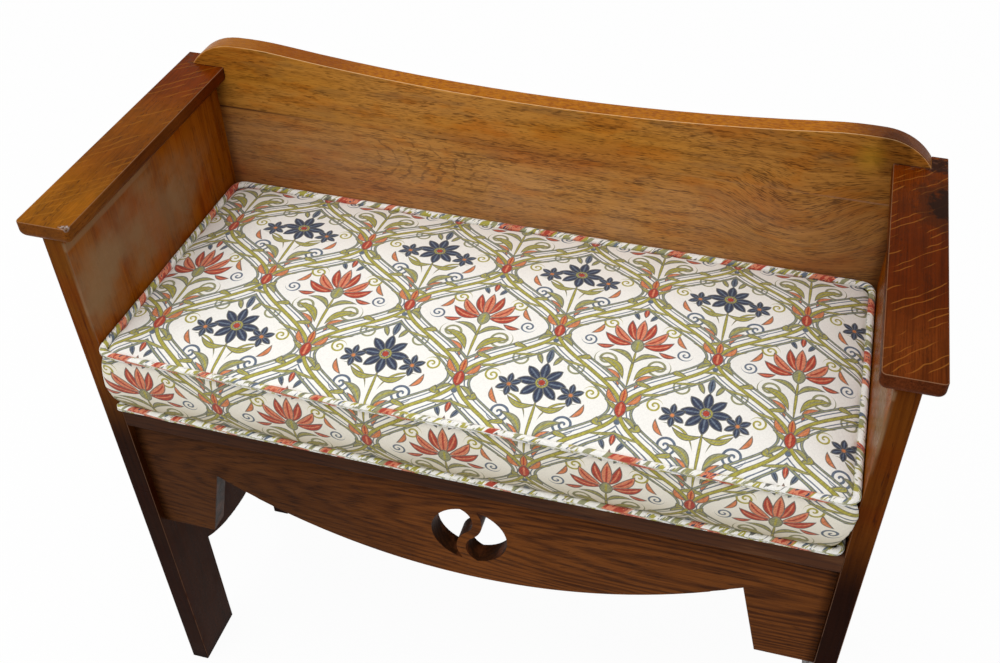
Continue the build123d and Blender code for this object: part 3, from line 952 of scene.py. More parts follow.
def cover_material():
    """Printed woven cotton of the cover, with painted shade on its boxing, its underside and the lower band of
    the boxing.
    """
    coat, bench, place, weave = cloth_coat("cover_printed_cotton", None)
    coat.colour = cloth_pattern(bench, place)
    hatch = (place.turn(0.6) * (0.95, 0.2, 1)).noise(2, 0.7).step(0.34, 0.64, 0.6, 1.25)
    dark = (1.0 - coat.colour.dot_product((0.33, 0.34, 0.33)) * 1.15).clamped()
    coat.tint(dark, bench.join(hatch, hatch, hatch))
    coat.shade(weave.step(0.75, 1.25, 0.94, 1.03))
    upward = coat.facing()[2]
    # Painted shade: the boxing and the underside darker than the top.
    coat.tint(upward.step(0.75, 0.1), (0.96, 0.92, 0.84))
    coat.tint(upward.step(0.05, -0.5), (0.8, 0.78, 0.72))
    # Painted shade on the lower band of the boxing, near the seat.
    high = coat.place.split()[2]
    low_boxing_shade = high.step(seat_top + 0.045, seat_top + 0.01) * upward.step(0.6, 0.2)
    coat.tint(low_boxing_shade, (0.82, 0.78, 0.7))
    return coat.close(weave.step(0.8, 1.2, 0.82, 0.94), weave, 0.35, 0.0003, Specular_IOR_Level=0.2,
                      Sheen_Weight=0.12, Sheen_Roughness=0.5)


def piping_material():
    """The same cloth cut on the bias, so that its colours cross the piping in short slanting bands."""
    cloth = bpy.context.scene.settle_cushion
    coat, bench, place, weave = cloth_coat("piping_bias_cotton", cloth.ground)
    x, y = place.split()[:2]
    slant = y * 0.9 + x
    bands = [(0.12, 8.1, cloth.olive, 0.54), (0.11, 5.9, cloth.sage, 0.56), (0.21, 1.3, cloth.outline, 0.62),
             (0.14, 9.2, cloth.steel, 0.62)]
    for scale, shift, dye, gate in bands:
        spot = bench.join(slant * scale + shift, y * 0.05, shift)
        coat.paint(spot.noise(2, 0.65).step(gate, gate + 0.02), dye)
    length = bench.join(slant * 0.026 + 12.4, 0.0).noise(1)
    petal = bench.join(slant * 0.28, y * 0.16, 3.7).noise()
    flower = bench.mix(petal.step(0.45, 0.49), cloth.coral, cloth.salmon)
    flower = bench.mix(petal.step(0.62, 0.64), flower, cloth.navy)
    coat.paint(length.step(0.56, 0.57), flower)
    coat.shade(weave.step(0.75, 1.25, 0.9, 1.04))
    crease = bench.join(slant * 0.35, y * 0.1).noise()
    return coat.close(weave.step(0.8, 1.2, 0.8, 0.92), crease + weave, 0.5, 0.0005, Specular_IOR_Level=0.2,
                      Sheen_Weight=0.12)


def foam_material():
    """Cut foam with open cells."""
    coat = Coat("foam_open_cell")
    bench = coat.bench
    cells = bench.put("ShaderNodeTexVoronoi")
    pit = Term(bench, bench.fill(cells, Vector=coat.place, Scale=420.0)["Distance"])
    age = (coat.place * 9.0).noise(3)
    coat.colour = bench.mix(age.step(0.4, 0.65), (0.82, 0.76, 0.56), (0.72, 0.6, 0.36))
    # Painted shade in the pits of the open cells.
    coat.shade(pit.step(0.25, 0.6, 0.55, 1.0))
    return coat.close(age.step(0.3, 0.7, 0.85, 0.98), pit, 0.6, 0.001)


# The cushion's form

class CushionForm:
    """Sizes of the cushion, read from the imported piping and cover."""

    def __init__(self):
        low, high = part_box("cushion_piping_top")
        under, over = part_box("cushion_piping_bottom")
        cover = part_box("cushion_cover")
        self.radius = (high.z - low.z) / 2
        self.half_x = high.x - self.radius
        self.front = low.y + self.radius
        self.rear = high.y - self.radius
        self.top_line = (low.z + high.z) / 2
        self.low_line = (under.z + over.z) / 2
        self.offset = (self.radius - 0.001) / 2 ** 0.5
        self.top_seam = self.top_line - self.offset
        self.low_seam = self.low_line + self.offset
        self.crown = cover[1].z - self.top_seam
        self.base = cover[0].z
        self.bulge = 0.0052
        self.corner = 0.01
        self.wall_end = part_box("side_panel_right")[0].y
        self.middle = (self.front + self.rear) / 2
        self.sewn_x = self.half_x - self.offset
        self.sewn_y = (self.rear - self.front) / 2 - self.offset

    def ring(self, inset, height, count):
        """Points of a rounded rectangle drawn in from the piping's line."""
        half_x, half_y = self.sewn_x - inset, self.sewn_y - inset
        corner = max(self.corner - inset, 0.012 + 0.35 * max(inset, 0.0))
        corner = min(corner, half_x, half_y)
        points = []
        straights = (2 * (half_x - corner), 2 * (half_y - corner))
        total = 2 * sum(straights) + 2 * pi * corner
        for place in range(count):
            way = total * place / count
            points.append(rounded_point(way, half_x, half_y, corner, self.middle, height))
        return points


def rounded_point(way, half_x, half_y, corner, middle, height):
    """Point at a length along a rounded rectangle, from the left end of its front side, anticlockwise."""
    sides = ((half_x, -half_y, 0), (half_x, half_y, 90), (-half_x, half_y, 180), (-half_x, -half_y, 270))
    lengths = (2 * (half_x - corner), 2 * (half_y - corner)) * 2
    for (corner_x, corner_y, heading), length in zip(sides, lengths):
        forward = Vector((cos(radians(heading)), sin(radians(heading))))
        inward = Vector((-forward.y, forward.x))
        end = Vector((corner_x, corner_y)) - forward * corner
        if way <= length:
            spot = end - forward * (length - way)
            break
        way -= length
        if way <= corner * pi / 2:
            angle = way / corner
            spot = end + inward * corner + forward * corner * sin(angle) - inward * corner * cos(angle)
            break
        way -= corner * pi / 2
    return spot.x, spot.y + middle, height


def form_mesh(name, form, shrink=0.0):
    """Closed crowned mesh of the cushion, drawn in by shrink."""
    count = 220
    rings = [(0.06 + shrink, form.base + shrink), (0.013 + shrink, form.base + shrink),
             (0.004 + shrink, form.low_seam - 0.0035 + shrink), (shrink, form.low_seam + shrink)]
    tall = form.top_seam - form.low_seam - 2 * shrink
    for step in range(1, 12):
        fullness = sin(pi * step / 12) ** 0.38
        rings.append((shrink - form.bulge * fullness, form.low_seam + shrink + tall * step / 12))
    rings.append((shrink, form.top_seam - shrink))
    for inset, rise in ((0.002, 0.16), (0.004, 0.3), (0.008, 0.43), (0.014, 0.54), (0.024, 0.66), (0.038, 0.77),
                        (0.058, 0.87), (0.085, 0.94), (0.12, 0.98)):
        rings.append((shrink + inset, form.top_seam - shrink + form.crown * rise))
    points = [point for inset, height in rings for point in form.ring(inset, height, count)]
    faces = [tuple(range(count - 1, -1, -1))]
    for level in range(len(rings) - 1):
        low, high = level * count, (level + 1) * count
        for place in range(count):
            after = (place + 1) % count
            faces.append((low + place, low + after, high + after, high + place))
    last = (len(rings) - 1) * count
    faces.append(tuple(range(last, last + count)))
    mesh = bpy.data.meshes.new(name)
    mesh.from_pydata(points, [], faces)
    mesh.update()
    return mesh


def place_object(name, mesh, material=None):
    """A new object at the origin."""
    piece = bpy.data.objects.new(name, mesh)
    bpy.context.scene.collection.objects.link(piece)
    if material is not None:
        mesh.materials.clear()
        mesh.materials.append(material)
    return piece


def settled(piece, name):
    """The piece's mesh with its modifiers applied."""
    graph = bpy.context.evaluated_depsgraph_get()
    mesh = bpy.data.meshes.new_from_object(piece.evaluated_get(graph), depsgraph=graph)
    mesh.name = name
    return mesh


def points_of(mesh):
    flat = np.zeros(len(mesh.vertices) * 3, np.float32)
    mesh.vertices.foreach_get("co", flat)
    return flat.reshape(-1, 3).astype(float)


def set_points(mesh, points):
    mesh.vertices.foreach_set("co", points.astype(np.float32).ravel())
    mesh.update()


def seam_distance(points, form):
    """How far each point is from the nearer seam, measured in height, and whether it is near the outside."""
    top = np.abs(points[:, 2] - form.top_seam)
    low = np.abs(points[:, 2] - form.low_seam)
    inset = np.minimum(form.sewn_x - np.abs(points[:, 0]), form.sewn_y - np.abs(points[:, 1] - form.middle))
    return np.minimum(np.hypot(top, np.maximum(inset, 0)), np.hypot(low, np.maximum(inset, 0)))


def puffed(mesh, form):
    """Lets the stuffing swell the cover between its seams, by no more than the cushion's puff."""
    cloth = bpy.context.scene.settle_cushion
    piece = place_object("cover_settling", mesh)
    group = piece.vertex_groups.new(name="sewn")
    start = points_of(mesh)
    away = seam_distance(start, form)
    held = np.clip(1.4 - away / 0.009, 0, 1)
    held[start[:, 2] < form.low_seam - 0.002] = 1.0
    for place in np.nonzero(held > 0)[0]:
        group.add([int(place)], float(held[place]), "REPLACE")
    settling = piece.modifiers.new("settling", "CLOTH")
    settings = settling.settings
    settings.quality = 4
    settings.mass = 0.25
    settings.tension_stiffness = settings.compression_stiffness = 14.0
    settings.bending_stiffness = 1.2
    settings.use_pressure = True
    settings.uniform_pressure_force = cloth.pressure
    settings.vertex_group_mass = "sewn"
    settings.effector_weights.gravity = 0.0
    settling.collision_settings.use_collision = False
    scene = bpy.context.scene
    settling.point_cache.frame_start = 1
    settling.point_cache.frame_end = cloth.frames
    for moment in range(1, cloth.frames + 1):
        scene.frame_set(moment)
        graph = bpy.context.evaluated_depsgraph_get()
        piece.evaluated_get(graph)
    end = points_of(settled(piece, "cover_swollen"))
    scene.frame_set(1)
    bpy.data.objects.remove(piece)
    move = end - start
    length = np.linalg.norm(move, axis=1)
    keep = np.minimum(1.0, cloth.puff / np.maximum(length, 1e-9))
    return start + move * keep[:, None]


def creased(points, form):
    """Small puckers where the cover is gathered to its piping, and a slow unevenness on top."""
    x, y, z = points[:, 0], points[:, 1], points[:, 2]
    inset = np.minimum(form.sewn_x - np.abs(x), form.sewn_y - np.abs(y - form.middle))
    round_it = np.where(form.sewn_x - np.abs(x) < form.sewn_y - np.abs(y - form.middle), y, x)
    fade = np.exp(-np.maximum(inset, 0) / 0.012) * (z > form.top_seam + 0.002)
    gathers = np.sin(round_it * 2 * pi / 0.019 + 2.3 * np.sin(round_it * 31))
    pucker = gathers * (0.5 + 0.5 * np.sin(round_it * 47 + 1.3))
    top = z > form.top_seam + 0.003
    slow = np.sin(x * 17.3 + 0.7) * np.sin(y * 23.1 + 1.9) + 0.6 * np.sin(x * 41.7 + y * 19.0)
    moved = points.copy()
    moved[:, 2] += 0.0005 * pucker * fade + 0.0007 * slow * top * np.clip(inset / 0.04, 0, 1)
    side = (z > form.low_seam + 0.003) & (z < form.top_seam - 0.003) & (y < form.front + 0.02)
    band = np.sin((z - form.low_seam) / (form.top_seam - form.low_seam) * pi)
    moved[:, 1] -= side * band * 0.0006 * np.sin(x * 33.0 + 0.4) * np.sin(x * 11.0)
    return moved


def ramp(value, start, end):
    """Smooth step from 0 at start to 1 at end, for arrays."""
    part = np.clip((value - start) / (end - start), 0.0, 1.0)
    return part * part * (3.0 - 2.0 * part)


def seated(points, form):
    """Settles the cushion: its lower seam drawn back in front, its upper one sagging, and its front pressed out
    sideways before the panels."""
    x, y, z = points[:, 0], points[:, 1], points[:, 2]
    fall = np.clip((form.top_seam - z) / (form.top_seam - form.low_seam), 0.0, 1.0)
    near = ramp(y, form.front + 0.05, form.front)
    back = np.interp(x, (-0.36, -0.335, -0.3, 0.0, 0.36), (0.0058, 0.0072, 0.0085, 0.007, 0.0104))
    lift = np.interp(x, (-0.36, -0.34, -0.31), (0.004, 0.0032, 0.0)) * ramp(fall, 0.4, 1.0)
    sag = np.interp(x, (-0.36, -0.2, -0.1, 0.02, 0.19, 0.36), (0.0, 0.0025, 0.0036, 0.0014, 0.0048, 0.003))
    moved = points.copy()
    moved[:, 1] += back * fall ** 1.4 * near
    moved[:, 2] += lift * near - sag * (1.0 - fall) * ramp(y, form.front + 0.13, form.front)
    free = ramp(moved[:, 1], form.wall_end - 0.0005, form.wall_end - 0.0035) * ramp(np.abs(x), 0.33, 0.36)
    left = np.interp(fall, (0.0, 0.1, 0.26, 0.63, 0.88, 1.0), (0.0, 0.0035, 0.0065, 0.0115, 0.01, 0.0075))
    right = np.interp(fall, (0.0, 0.1, 0.26, 0.63, 0.88, 1.0), (0.001, 0.005, 0.0062, 0.0045, 0.002, 0.001))
    moved[:, 0] += np.sign(x) * free * np.where(x < 0, left, right)
    return moved


def kept_clear(points, form):
    """Holds the cover off the seat board, the panels and the back."""
    points = points.copy()
    wall = form.half_x + form.radius - 0.0012
    points[:, 0] = np.clip(points[:, 0], -wall, wall)
    points[:, 1] = np.minimum(points[:, 1], form.rear + form.radius - 0.0012)
    points[:, 2] = np.maximum(points[:, 2], form.base)
    return points


def chart_cloth(mesh, form):
    """UV map in metres of cloth: the top and underside flat, the boxing unrolled round the cushion."""
    corner = form.corner
    points = points_of(mesh)
    x, y, z = points[:, 0], points[:, 1] - form.middle, points[:, 2]
    straight_x, straight_y = form.sewn_x - corner, form.sewn_y - corner
    arc = corner * pi / 2
    near_x = np.clip(x, -straight_x, straight_x)
    near_y = np.clip(y, -straight_y, straight_y)
    angle = np.arctan2(y - near_y, x - near_x)
    # The way round runs from the middle of the front to the right; each quarter has its own start
    quarter = np.mod(angle + pi / 2, 2 * pi)
    number = np.floor(quarter / (pi / 2) + 1e-9)
    turned = (quarter - number * pi / 2) * corner
    starts = np.array([straight_x, straight_x + arc + 2 * straight_y, 3 * straight_x + 2 * arc + 2 * straight_y,
                       3 * straight_x + 3 * arc + 4 * straight_y])
    on_corner = (np.abs(x) > straight_x) & (np.abs(y) > straight_y)
    way = starts[np.clip(number.astype(int), 0, 3)] + turned
    front = ~on_corner & (np.abs(x) <= straight_x) & (y < 0)
    right = ~on_corner & (np.abs(x) > straight_x) & (x > 0)
    rear = ~on_corner & (np.abs(x) <= straight_x) & (y >= 0)
    left = ~on_corner & (np.abs(x) > straight_x) & (x < 0)
    way[front] = x[front]
    way[right] = (straight_x + arc + straight_y + y)[right]
    way[rear] = (straight_x * 2 + 2 * arc + 2 * straight_y - x)[rear]
    way[left] = (straight_x * 3 + 3 * arc + 3 * straight_y - y)[left]
    whole = 4 * straight_x + 4 * straight_y + 4 * arc
    way = np.mod(way + whole / 2, whole) - whole / 2
    count = len(mesh.loops)
    corners = np.zeros(count, np.int32)
    mesh.loops.foreach_get("vertex_index", corners)
    sizes = np.zeros(len(mesh.polygons), np.int32)
    mesh.polygons.foreach_get("loop_total", sizes)
    face = np.repeat(np.arange(len(sizes)), sizes)
    height = np.bincount(face, z[corners]) / sizes
    sideways = np.bincount(face, way[corners]) / sizes
    chart = np.stack([x[corners], points[corners, 1]], -1)
    under = (height < form.low_seam)[face]
    chart[under] = np.stack([x[corners] + 0.3, -points[corners, 1] + 0.1], -1)[under]
    boxing = ((height >= form.low_seam) & (height <= form.top_seam))[face]
    around = way[corners]
    around = np.where(around - sideways[face] > whole / 4, around - whole, around)
    around = np.where(around - sideways[face] < -whole / 4, around + whole, around)
    band = np.stack([around, z[corners] - (form.low_seam + form.top_seam) / 2 + 0.004], -1)
    chart[boxing] = band[boxing]
    chart[:, 0] += 0.012
    chart[~boxing, 1] += 0.03
    layer = mesh.uv_layers.new(name="cloth")
    layer.data.foreach_set("uv", chart.astype(np.float32).ravel())


def make_cover(form, material):
    """The cushion's cover: remeshed, swollen by its stuffing, refined and charted."""
    cloth = bpy.context.scene.settle_cushion
    rough = place_object("cover_rough", form_mesh("cover_rough", form))
    remesh = rough.modifiers.new("even", "REMESH")
    remesh.mode = "VOXEL"
    remesh.voxel_size = cloth.cell
    smooth = rough.modifiers.new("smooth", "SMOOTH")
    smooth.iterations = 3
    even = settled(rough, "cover_even")
    bpy.data.objects.remove(rough)
    points = puffed(even.copy(), form)
    set_points(even, kept_clear(points, form))
    even.materials.clear()
    draft = place_object("cover_draft", even)
    finer = draft.modifiers.new("finer", "SUBSURF")
    finer.levels = finer.render_levels = 1
    mesh = settled(draft, "cushion_cover_cloth")
    bpy.data.objects.remove(draft)
    set_points(mesh, kept_clear(creased(points_of(mesh), form), form))
    mesh.polygons.foreach_set("use_smooth", [True] * len(mesh.polygons))
    chart_cloth(mesh, form)
    set_points(mesh, seated(points_of(mesh), form))
    return place_object("cushion_cover_cloth", mesh, material)


def new_geometry(name, rows):
    """A Geometry Nodes group from rows of label, kind and default; gives its tree, bench and inputs."""
    tree = bpy.data.node_groups.new(name, "GeometryNodeTree")
    for label, kind, value in rows:
        socket = tree.interface.new_socket(label, in_out="INPUT", socket_type="NodeSocket" + kind)
        if value is not None:
            socket.default_value = value
    tree.interface.new_socket("Mesh", in_out="OUTPUT", socket_type="NodeSocketGeometry")
    bench = Bench(tree)
    return tree, bench, bench.put("NodeGroupInput").outputs


def close_geometry(bench, geometry, material):
    """Ends a Geometry Nodes group with real, finished meshes."""
    real = bench.fill(bench.put("GeometryNodeRealizeInstances"), Geometry=geometry)
    coat = bench.fill(bench.put("GeometryNodeSetMaterial"), Geometry=real[0], Material=material)
    bench.feed(bench.put("NodeGroupOutput").inputs[0], coat[0])


def piping_tree(material):
    """Geometry Nodes that sweep a covered cord along a seam."""
    tree, bench, given = new_geometry("piping_sweep", [
        ("Seam", "Geometry", None), ("Cord Radius", "Float", 0.00375), ("Spacing", "Float", 0.0022),
        ("Waver", "Float", 0.0006), ("Seed", "Int", 3)])
    even = bench.fill(bench.put("GeometryNodeResampleCurve", mode="LENGTH"), Curve=given["Seam"],
                      Length=given["Spacing"])
    noise = bench.put("ShaderNodeTexNoise", noise_dimensions="4D")
    place = bench.put("GeometryNodeInputPosition").outputs[0]
    bench.fill(noise, Vector=place, W=given["Seed"], Scale=30.0)
    lean = (Term(bench, noise.outputs["Color"]) - (0.5, 0.5, 0.5)) * (0.6, 0.6, 1.0)
    moved = bench.fill(bench.put("GeometryNodeSetPosition"), Geometry=even[0],
                       Offset=lean.reckon("SCALE", given["Waver"]))
    section = bench.put("GeometryNodeCurvePrimitiveCircle", mode="RADIUS")
    bench.fill(section, Resolution=14, Radius=given["Cord Radius"])

    def keep_length(curve, name):
        keep = bench.put("GeometryNodeCaptureAttribute", domain="POINT")
        keep.capture_items.new("FLOAT", name)
        length = bench.put("GeometryNodeSplineParameter").outputs["Length"]
        return bench.fill(keep, Geometry=curve, **{name: length})

    way, turn = keep_length(moved[0], "Way"), keep_length(section.outputs[0], "Turn")
    sweep = bench.fill(bench.put("GeometryNodeCurveToMesh"), Curve=way["Geometry"],
                       Profile_Curve=turn["Geometry"])
    store = bench.put("GeometryNodeStoreNamedAttribute", data_type="FLOAT2", domain="CORNER")
    bench.fill(store, Geometry=sweep[0], Name="cloth", Value=bench.join(way["Way"], turn["Turn"]))
    close_geometry(bench, store.outputs[0], material)
    return tree


def set_inputs(modifier, **values):
    """Sets a Geometry Nodes modifier's inputs by their sockets' identifiers."""
    for item in modifier.node_group.interface.items_tree:
        if item.item_type == "SOCKET" and item.in_out == "INPUT" and item.name.replace(" ", "_") in values:
            modifier[item.identifier] = values[item.name.replace(" ", "_")]


def make_piping(name, form, line, corner, seed, tree, material):
    """Piping along one seam of the cover."""
    count = 480
    half_y = (form.rear - form.front) / 2
    total = 4 * (form.half_x - corner) + 4 * (half_y - corner) + 2 * pi * corner
    start = 3 * (form.half_x - corner) + 2 * (half_y - corner) + pi * corner
    curve = bpy.data.curves.new(name, "CURVE")
    curve.dimensions = "3D"
    spline = curve.splines.new("POLY")
    spline.points.add(count - 1)
    ways = [(start + total * place / count) % total for place in range(count)]
    seam = np.array([rounded_point(way, form.half_x, half_y, corner, form.middle, line) for way in ways])
    for point, (x, y, z) in zip(spline.points, seated(seam, form)):
        point.co = (x, y, z, 1.0)
    spline.use_cyclic_u = True
    path = place_object(name + "_path", curve)
    sweep = path.modifiers.new("sweep", "NODES")
    sweep.node_group = tree
    set_inputs(sweep, Cord_Radius=form.radius, Seed=seed)
    mesh = settled(path, name)
    bpy.data.objects.remove(path)
    mesh.polygons.foreach_set("use_smooth", [True] * len(mesh.polygons))
    return place_object(name, mesh, material)


def screw_tree(material):
    """Geometry Nodes that set a slotted countersunk screw at each point and turn it by a seed."""
    tree, bench, given = new_geometry("screw_row", [
        ("Places", "Geometry", None), ("Screw", "Object", None), ("Seed", "Int", 7)])
    template = bench.fill(bench.put("GeometryNodeObjectInfo"), Object=given["Screw"])
    angle = bench.put("FunctionNodeRandomValue", data_type="FLOAT")
    angle.inputs[2].default_value, angle.inputs[3].default_value = 0.0, pi
    bench.fill(angle, Seed=given["Seed"])
    row = bench.fill(bench.put("GeometryNodeInstanceOnPoints"), Points=given["Places"],
                     Instance=template["Geometry"], Rotation=bench.join(0.0, angle.outputs[1], 0.0))
    close_geometry(bench, row[0], material)
    return tree


def screw_mesh(head_radius):
    """One slotted screw: its head level with Y = 0 and its shank towards -Y."""
    count = 28
    profile = [(0.0, -0.0002), (0.62, -0.0002), (0.9, -0.0001), (1.0, -0.0004), (0.5, -0.0026), (0.5, -0.040),
               (0.0, -0.045)]
    points, faces = [], []
    for share_of, depth in profile:
        for place in range(count):
            angle = 2 * pi * place / count
            points.append((share_of * head_radius * cos(angle), depth, share_of * head_radius * sin(angle)))
    for level in range(len(profile) - 1):
        for place in range(count):
            after = (place + 1) % count
            low, high = level * count, (level + 1) * count
            faces.append((low + place, low + after, high + after, high + place))
    slot = 0.00055
    for index, (x, y, z) in enumerate(points):
        if abs(z) < slot * 1.6 and y > -0.0003 and index < 3 * count:
            points[index] = (x, -0.0011, z)
    mesh = bpy.data.meshes.new("screw_pattern")
    mesh.from_pydata(points, [], faces)
    mesh.update()
    return mesh


# Operators

class SETTLE_OT_back(bpy.types.Operator):
    """Finish the two back boards"""

    bl_idname = "settle.finish_back"
    bl_label = "Finish the back"

    def execute(self, context):
        finish("back_crest_board", back_material("back_crest_waxed_oak", True))
        finish("back_lower_board", back_material("back_lower_waxed_oak", False))
        return {"FINISHED"}


class SETTLE_OT_arms(bpy.types.Operator):
    """Finish the arm boards"""

    bl_idname = "settle.finish_arms"
    bl_label = "Finish the arms"

    def execute(self, context):
        finish("arm_board_left", arm_material("arm_left_waxed_oak", True))
        finish("arm_board_right", arm_material("arm_right_waxed_oak", False))
        return {"FINISHED"}


class SETTLE_OT_panels(bpy.types.Operator):
    """Finish the side panels"""

    bl_idname = "settle.finish_panels"
    bl_label = "Finish the side panels"

    def execute(self, context):
        finish("side_panel_left", panel_material("panel_left_waxed_oak", True))
        finish("side_panel_right", panel_material("panel_right_waxed_oak", False))
        return {"FINISHED"}


class SETTLE_OT_seat(bpy.types.Operator):
    """Finish the seat board and the apron"""

    bl_idname = "settle.finish_seat"
    bl_label = "Finish the seat and apron"

    def execute(self, context):
        finish("seat_board", seat_material())
        finish("front_apron", apron_material())
        return {"FINISHED"}


class SETTLE_OT_fixings(bpy.types.Operator):
    """Finish the dowels and blocks, and set the screws"""

    bl_idname = "settle.set_fixings"
    bl_label = "Set the fixings"

    def execute(self, context):
        fixings = context.scene.settle_fixings
        timbers = (
            ("dowel_beech_wood", "zxy", (0.7, 0.47, 0.28), (0.52, 0.31, 0.17), 0.003, 0.15, 0.5,
             ("arm_dowels_left", "arm_dowels_right", "back_joint_dowels")),
            ("block_pine_wood", "xzy", (0.62, 0.4, 0.18), (0.38, 0.19, 0.07), 0.0035, 0.1, 0.6,
             ("seat_block_left", "seat_block_middle", "seat_block_right")),
            ("corner_pine_wood", "zxy", (0.6, 0.38, 0.17), (0.36, 0.18, 0.07), 0.0035, 0.1, 0.6,
             ("corner_block_left", "corner_block_right")))
        for *values, nodes in timbers:
            timber = plain_timber(*values)
            for node in nodes:
                finish(node, timber)
        self.set_screws(fixings)
        return {"FINISHED"}

    def set_screws(self, fixings):
        steel = screw_material()
        finish("back_screws", steel)
        low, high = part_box("back_screws")
        panel = high.x - fixings.head_radius
        first, last = low.z + fixings.head_radius, high.z - fixings.head_radius
        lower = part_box("back_lower_board")
        heights = [first, (first + lower[1].z - 0.03) / 2, lower[1].z - 0.03, last]
        seat_low, seat_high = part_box("seat_board")
        places = [(x, high.y, z) for x in (-panel, panel) for z in heights]
        places += [(x, high.y, (seat_low.z + seat_high.z) / 2) for x in (-0.3, -0.1, 0.1, 0.3)]
        dots = bpy.data.meshes.new("screw_places")
        dots.from_pydata(places, [], [])
        carrier = place_object("screw_carrier", dots)
        pattern = place_object("screw_pattern", screw_mesh(fixings.head_radius))
        row = carrier.modifiers.new("row", "NODES")
        row.node_group = screw_tree(steel)
        set_inputs(row, Screw=pattern, Seed=fixings.seed)
        mesh = settled(carrier, "back_slotted_screws")
        bpy.data.objects.remove(carrier)
        bpy.data.objects.remove(pattern)
        screws = place_object("back_slotted_screws", mesh, steel)
        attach(screws, "frame")
        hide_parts("back_screws")


class SETTLE_OT_cushion(bpy.types.Operator):
    """Make the loose box cushion: foam, cover and piping"""

    bl_idname = "settle.make_cushion"
    bl_label = "Make the cushion"

    def execute(self, context):
        form = CushionForm()
        cover = make_cover(form, cover_material())
        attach(cover, "cushion")
        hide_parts("cushion_cover")
        foam_mesh = form_mesh("cushion_foam_block", form, 0.0045)
        set_points(foam_mesh, seated(points_of(foam_mesh), form))
        foam_mesh.polygons.foreach_set("use_smooth", [True] * len(foam_mesh.polygons))
        foam = place_object("cushion_foam_block", foam_mesh, foam_material())
        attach(foam, "cushion")
        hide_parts("cushion_foam")
        bias = piping_material()
        tree = piping_tree(bias)
        seams = (("top", form.top_line, 0.012, 3), ("bottom", form.low_line, 0.007, 11))
        for part, line, corner, seed in seams:
            piping = make_piping(f"cushion_piping_{part}_cord", form, line, corner, seed, tree, bias)
            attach(piping, "cushion")
            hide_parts(f"cushion_piping_{part}")
        return {"FINISHED"}


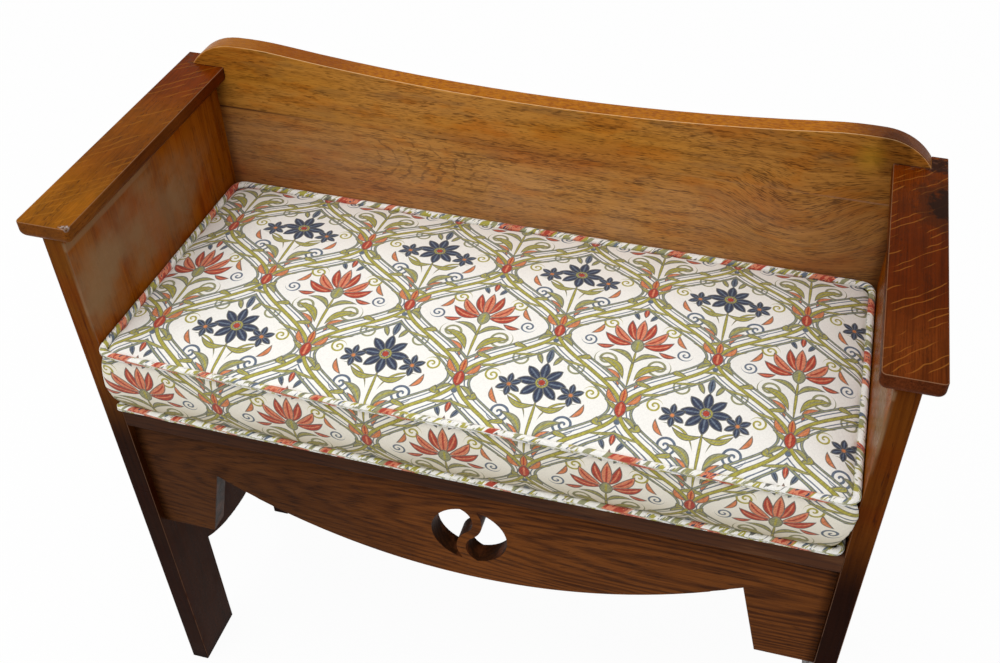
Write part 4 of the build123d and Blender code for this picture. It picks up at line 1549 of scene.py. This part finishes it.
class SETTLE_OT_stage(bpy.types.Operator):
    """Set the floor, the light and the camera"""

    bl_idname = "settle.set_stage"
    bl_label = "Set the stage"

    def execute(self, context):
        look = context.scene.settle_stage
        self.lay_floor(look)
        self.light(look)
        self.aim_camera()
        context.scene.view_settings.view_transform = "Standard"
        return {"FINISHED"}

    def seen_ray(self, bench):
        """One for rays that show the backdrop, straight or reflected, and zero for those that only light."""
        camera, glossy, through = [bench.read("ShaderNodeLightPath", f"Is {kind} Ray")
                                   for kind in ("Camera", "Glossy", "Transmission")]
        return camera.maximum(glossy).maximum(through)

    def lay_floor(self, look):
        coat = Coat("floor_paper", look.floor)
        bench = coat.bench
        grain = (coat.place * 3.0).noise(3)
        coat.shade(grain.step(0.2, 0.8, 0.985, 1.0))
        bench.fill(coat.shader, Base_Color=coat.colour, Roughness=grain.step(0.3, 0.7, 0.9, 0.96),
                   Specular_IOR_Level=0.1)
        glow = bench.put("ShaderNodeEmission")
        seen = bench.put("ShaderNodeMixShader")
        terms = (self.seen_ray(bench) * look.paper, coat.shader.outputs[0], glow.outputs[0])
        for socket, term in zip(seen.inputs, terms):
            bench.feed(socket, term)
        bench.feed(coat.surface, seen.outputs[0])
        mesh = bpy.data.meshes.new("floor")
        corners = [(FLOOR_REACH * x, FLOOR_REACH * y, 0) for x, y in ((-1, -1), (1, -1), (1, 1), (-1, 1))]
        mesh.from_pydata(corners, [], [(0, 1, 2, 3)])
        floor = place_object("floor", mesh, coat.material)

    def light(self, look):
        world = bpy.data.worlds.new("studio")
        bpy.context.scene.world = world
        world.use_nodes = True
        world.node_tree.nodes.clear()
        bench = Bench(world.node_tree)
        height = bench.read("ShaderNodeTexCoord", "Generated").split()[2]
        strength = height.step(0.0, 0.9, look.sky_low, look.sky_high)
        seen = self.seen_ray(bench)
        strength = seen * (1.0 - strength) + strength
        sky = bench.put("ShaderNodeBackground")
        sky.inputs["Color"].default_value = (1.0, 1.0, 1.0, 1.0)
        bench.feed(sky.inputs["Strength"], strength)
        bench.feed(bench.put("ShaderNodeOutputWorld").inputs["Surface"], sky.outputs[0])
        lamp = bpy.data.lights.new("soft_box", "AREA")
        lamp.shape = "RECTANGLE"
        lamp.size, lamp.size_y = 1.8, 1.2
        lamp.energy = look.lamp
        box = bpy.data.objects.new("soft_box", lamp)
        bpy.context.scene.collection.objects.link(box)
        place = Vector((-0.5, -0.9, 2.3))
        aim = (Vector((0, 0, 0.45)) - place).to_track_quat("-Z", "Y")
        box.matrix_world = Matrix.Translation(place) @ aim.to_matrix().to_4x4()

    def aim_camera(self):
        """Camera solved from the settle's corners; its picture is 1000 by 663."""
        yaw, pitch, roll = radians(13.68175), radians(41.79374), radians(0.86725)
        ahead = Vector((-sin(yaw) * cos(pitch), cos(yaw) * cos(pitch), -sin(pitch)))
        level = Vector((cos(yaw), sin(yaw), 0))
        upward = level.cross(ahead)
        across = level * cos(roll) + upward * sin(roll)
        up = upward * cos(roll) - level * sin(roll)
        lens = bpy.data.cameras.new("camera")
        lens.sensor_width = 36.0
        lens.lens = 40.865
        lens.shift_x = -0.05695
        lens.shift_y = 0.00025
        camera = bpy.data.objects.new("camera", lens)
        bpy.context.scene.collection.objects.link(camera)
        turned = Matrix((across, up, -ahead)).transposed().to_4x4()
        camera.matrix_world = Matrix.Translation((0.25997, -0.83825, 1.30952)) @ turned
        bpy.context.scene.camera = camera


LOOKS = {"settle_back": BackOak, "settle_arm": ArmOak, "settle_panel": PanelOak, "settle_apron": ApronOak,
         "settle_cushion": CushionCloth, "settle_fixings": Fixings, "settle_stage": StageLight}
STEPS = (SETTLE_OT_back, SETTLE_OT_arms, SETTLE_OT_panels, SETTLE_OT_seat, SETTLE_OT_fixings, SETTLE_OT_cushion,
         SETTLE_OT_stage)


class SETTLE_PT_sidebar(bpy.types.Panel):
    bl_idname = "SETTLE_PT_sidebar"
    bl_label = "Hall settle"
    bl_space_type = "VIEW_3D"
    bl_region_type = "UI"
    bl_category = "Settle"

    def draw(self, context):
        for step in STEPS:
            self.layout.operator(step.bl_idname)
        for name, look in LOOKS.items():
            box = self.layout.box()
            for field in look.__annotations__:
                box.prop(getattr(context.scene, name), field)


def register():
    for look in LOOKS.values():
        bpy.utils.register_class(look)
    for name, look in LOOKS.items():
        setattr(bpy.types.Scene, name, bpy.props.PointerProperty(type=look))
    for step in (*STEPS, SETTLE_PT_sidebar):
        bpy.utils.register_class(step)


def unregister():
    for step in (SETTLE_PT_sidebar, *reversed(STEPS)):
        bpy.utils.unregister_class(step)
    for name, look in LOOKS.items():
        delattr(bpy.types.Scene, name)
        bpy.utils.unregister_class(look)


def main():
    register()
    for make in (make_oak_grain, make_arris_wear_and_highlight, make_ray_fleck, make_wax_bloom, make_spot, make_petal,
                 make_dye, make_scroll, make_weave):
        make()
    bpy.ops.settle.finish_back()
    bpy.ops.settle.finish_arms()
    bpy.ops.settle.finish_panels()
    bpy.ops.settle.finish_seat()
    bpy.ops.settle.set_fixings()
    bpy.ops.settle.make_cushion()
    bpy.ops.settle.set_stage()


if __name__ == "__main__":
    main()
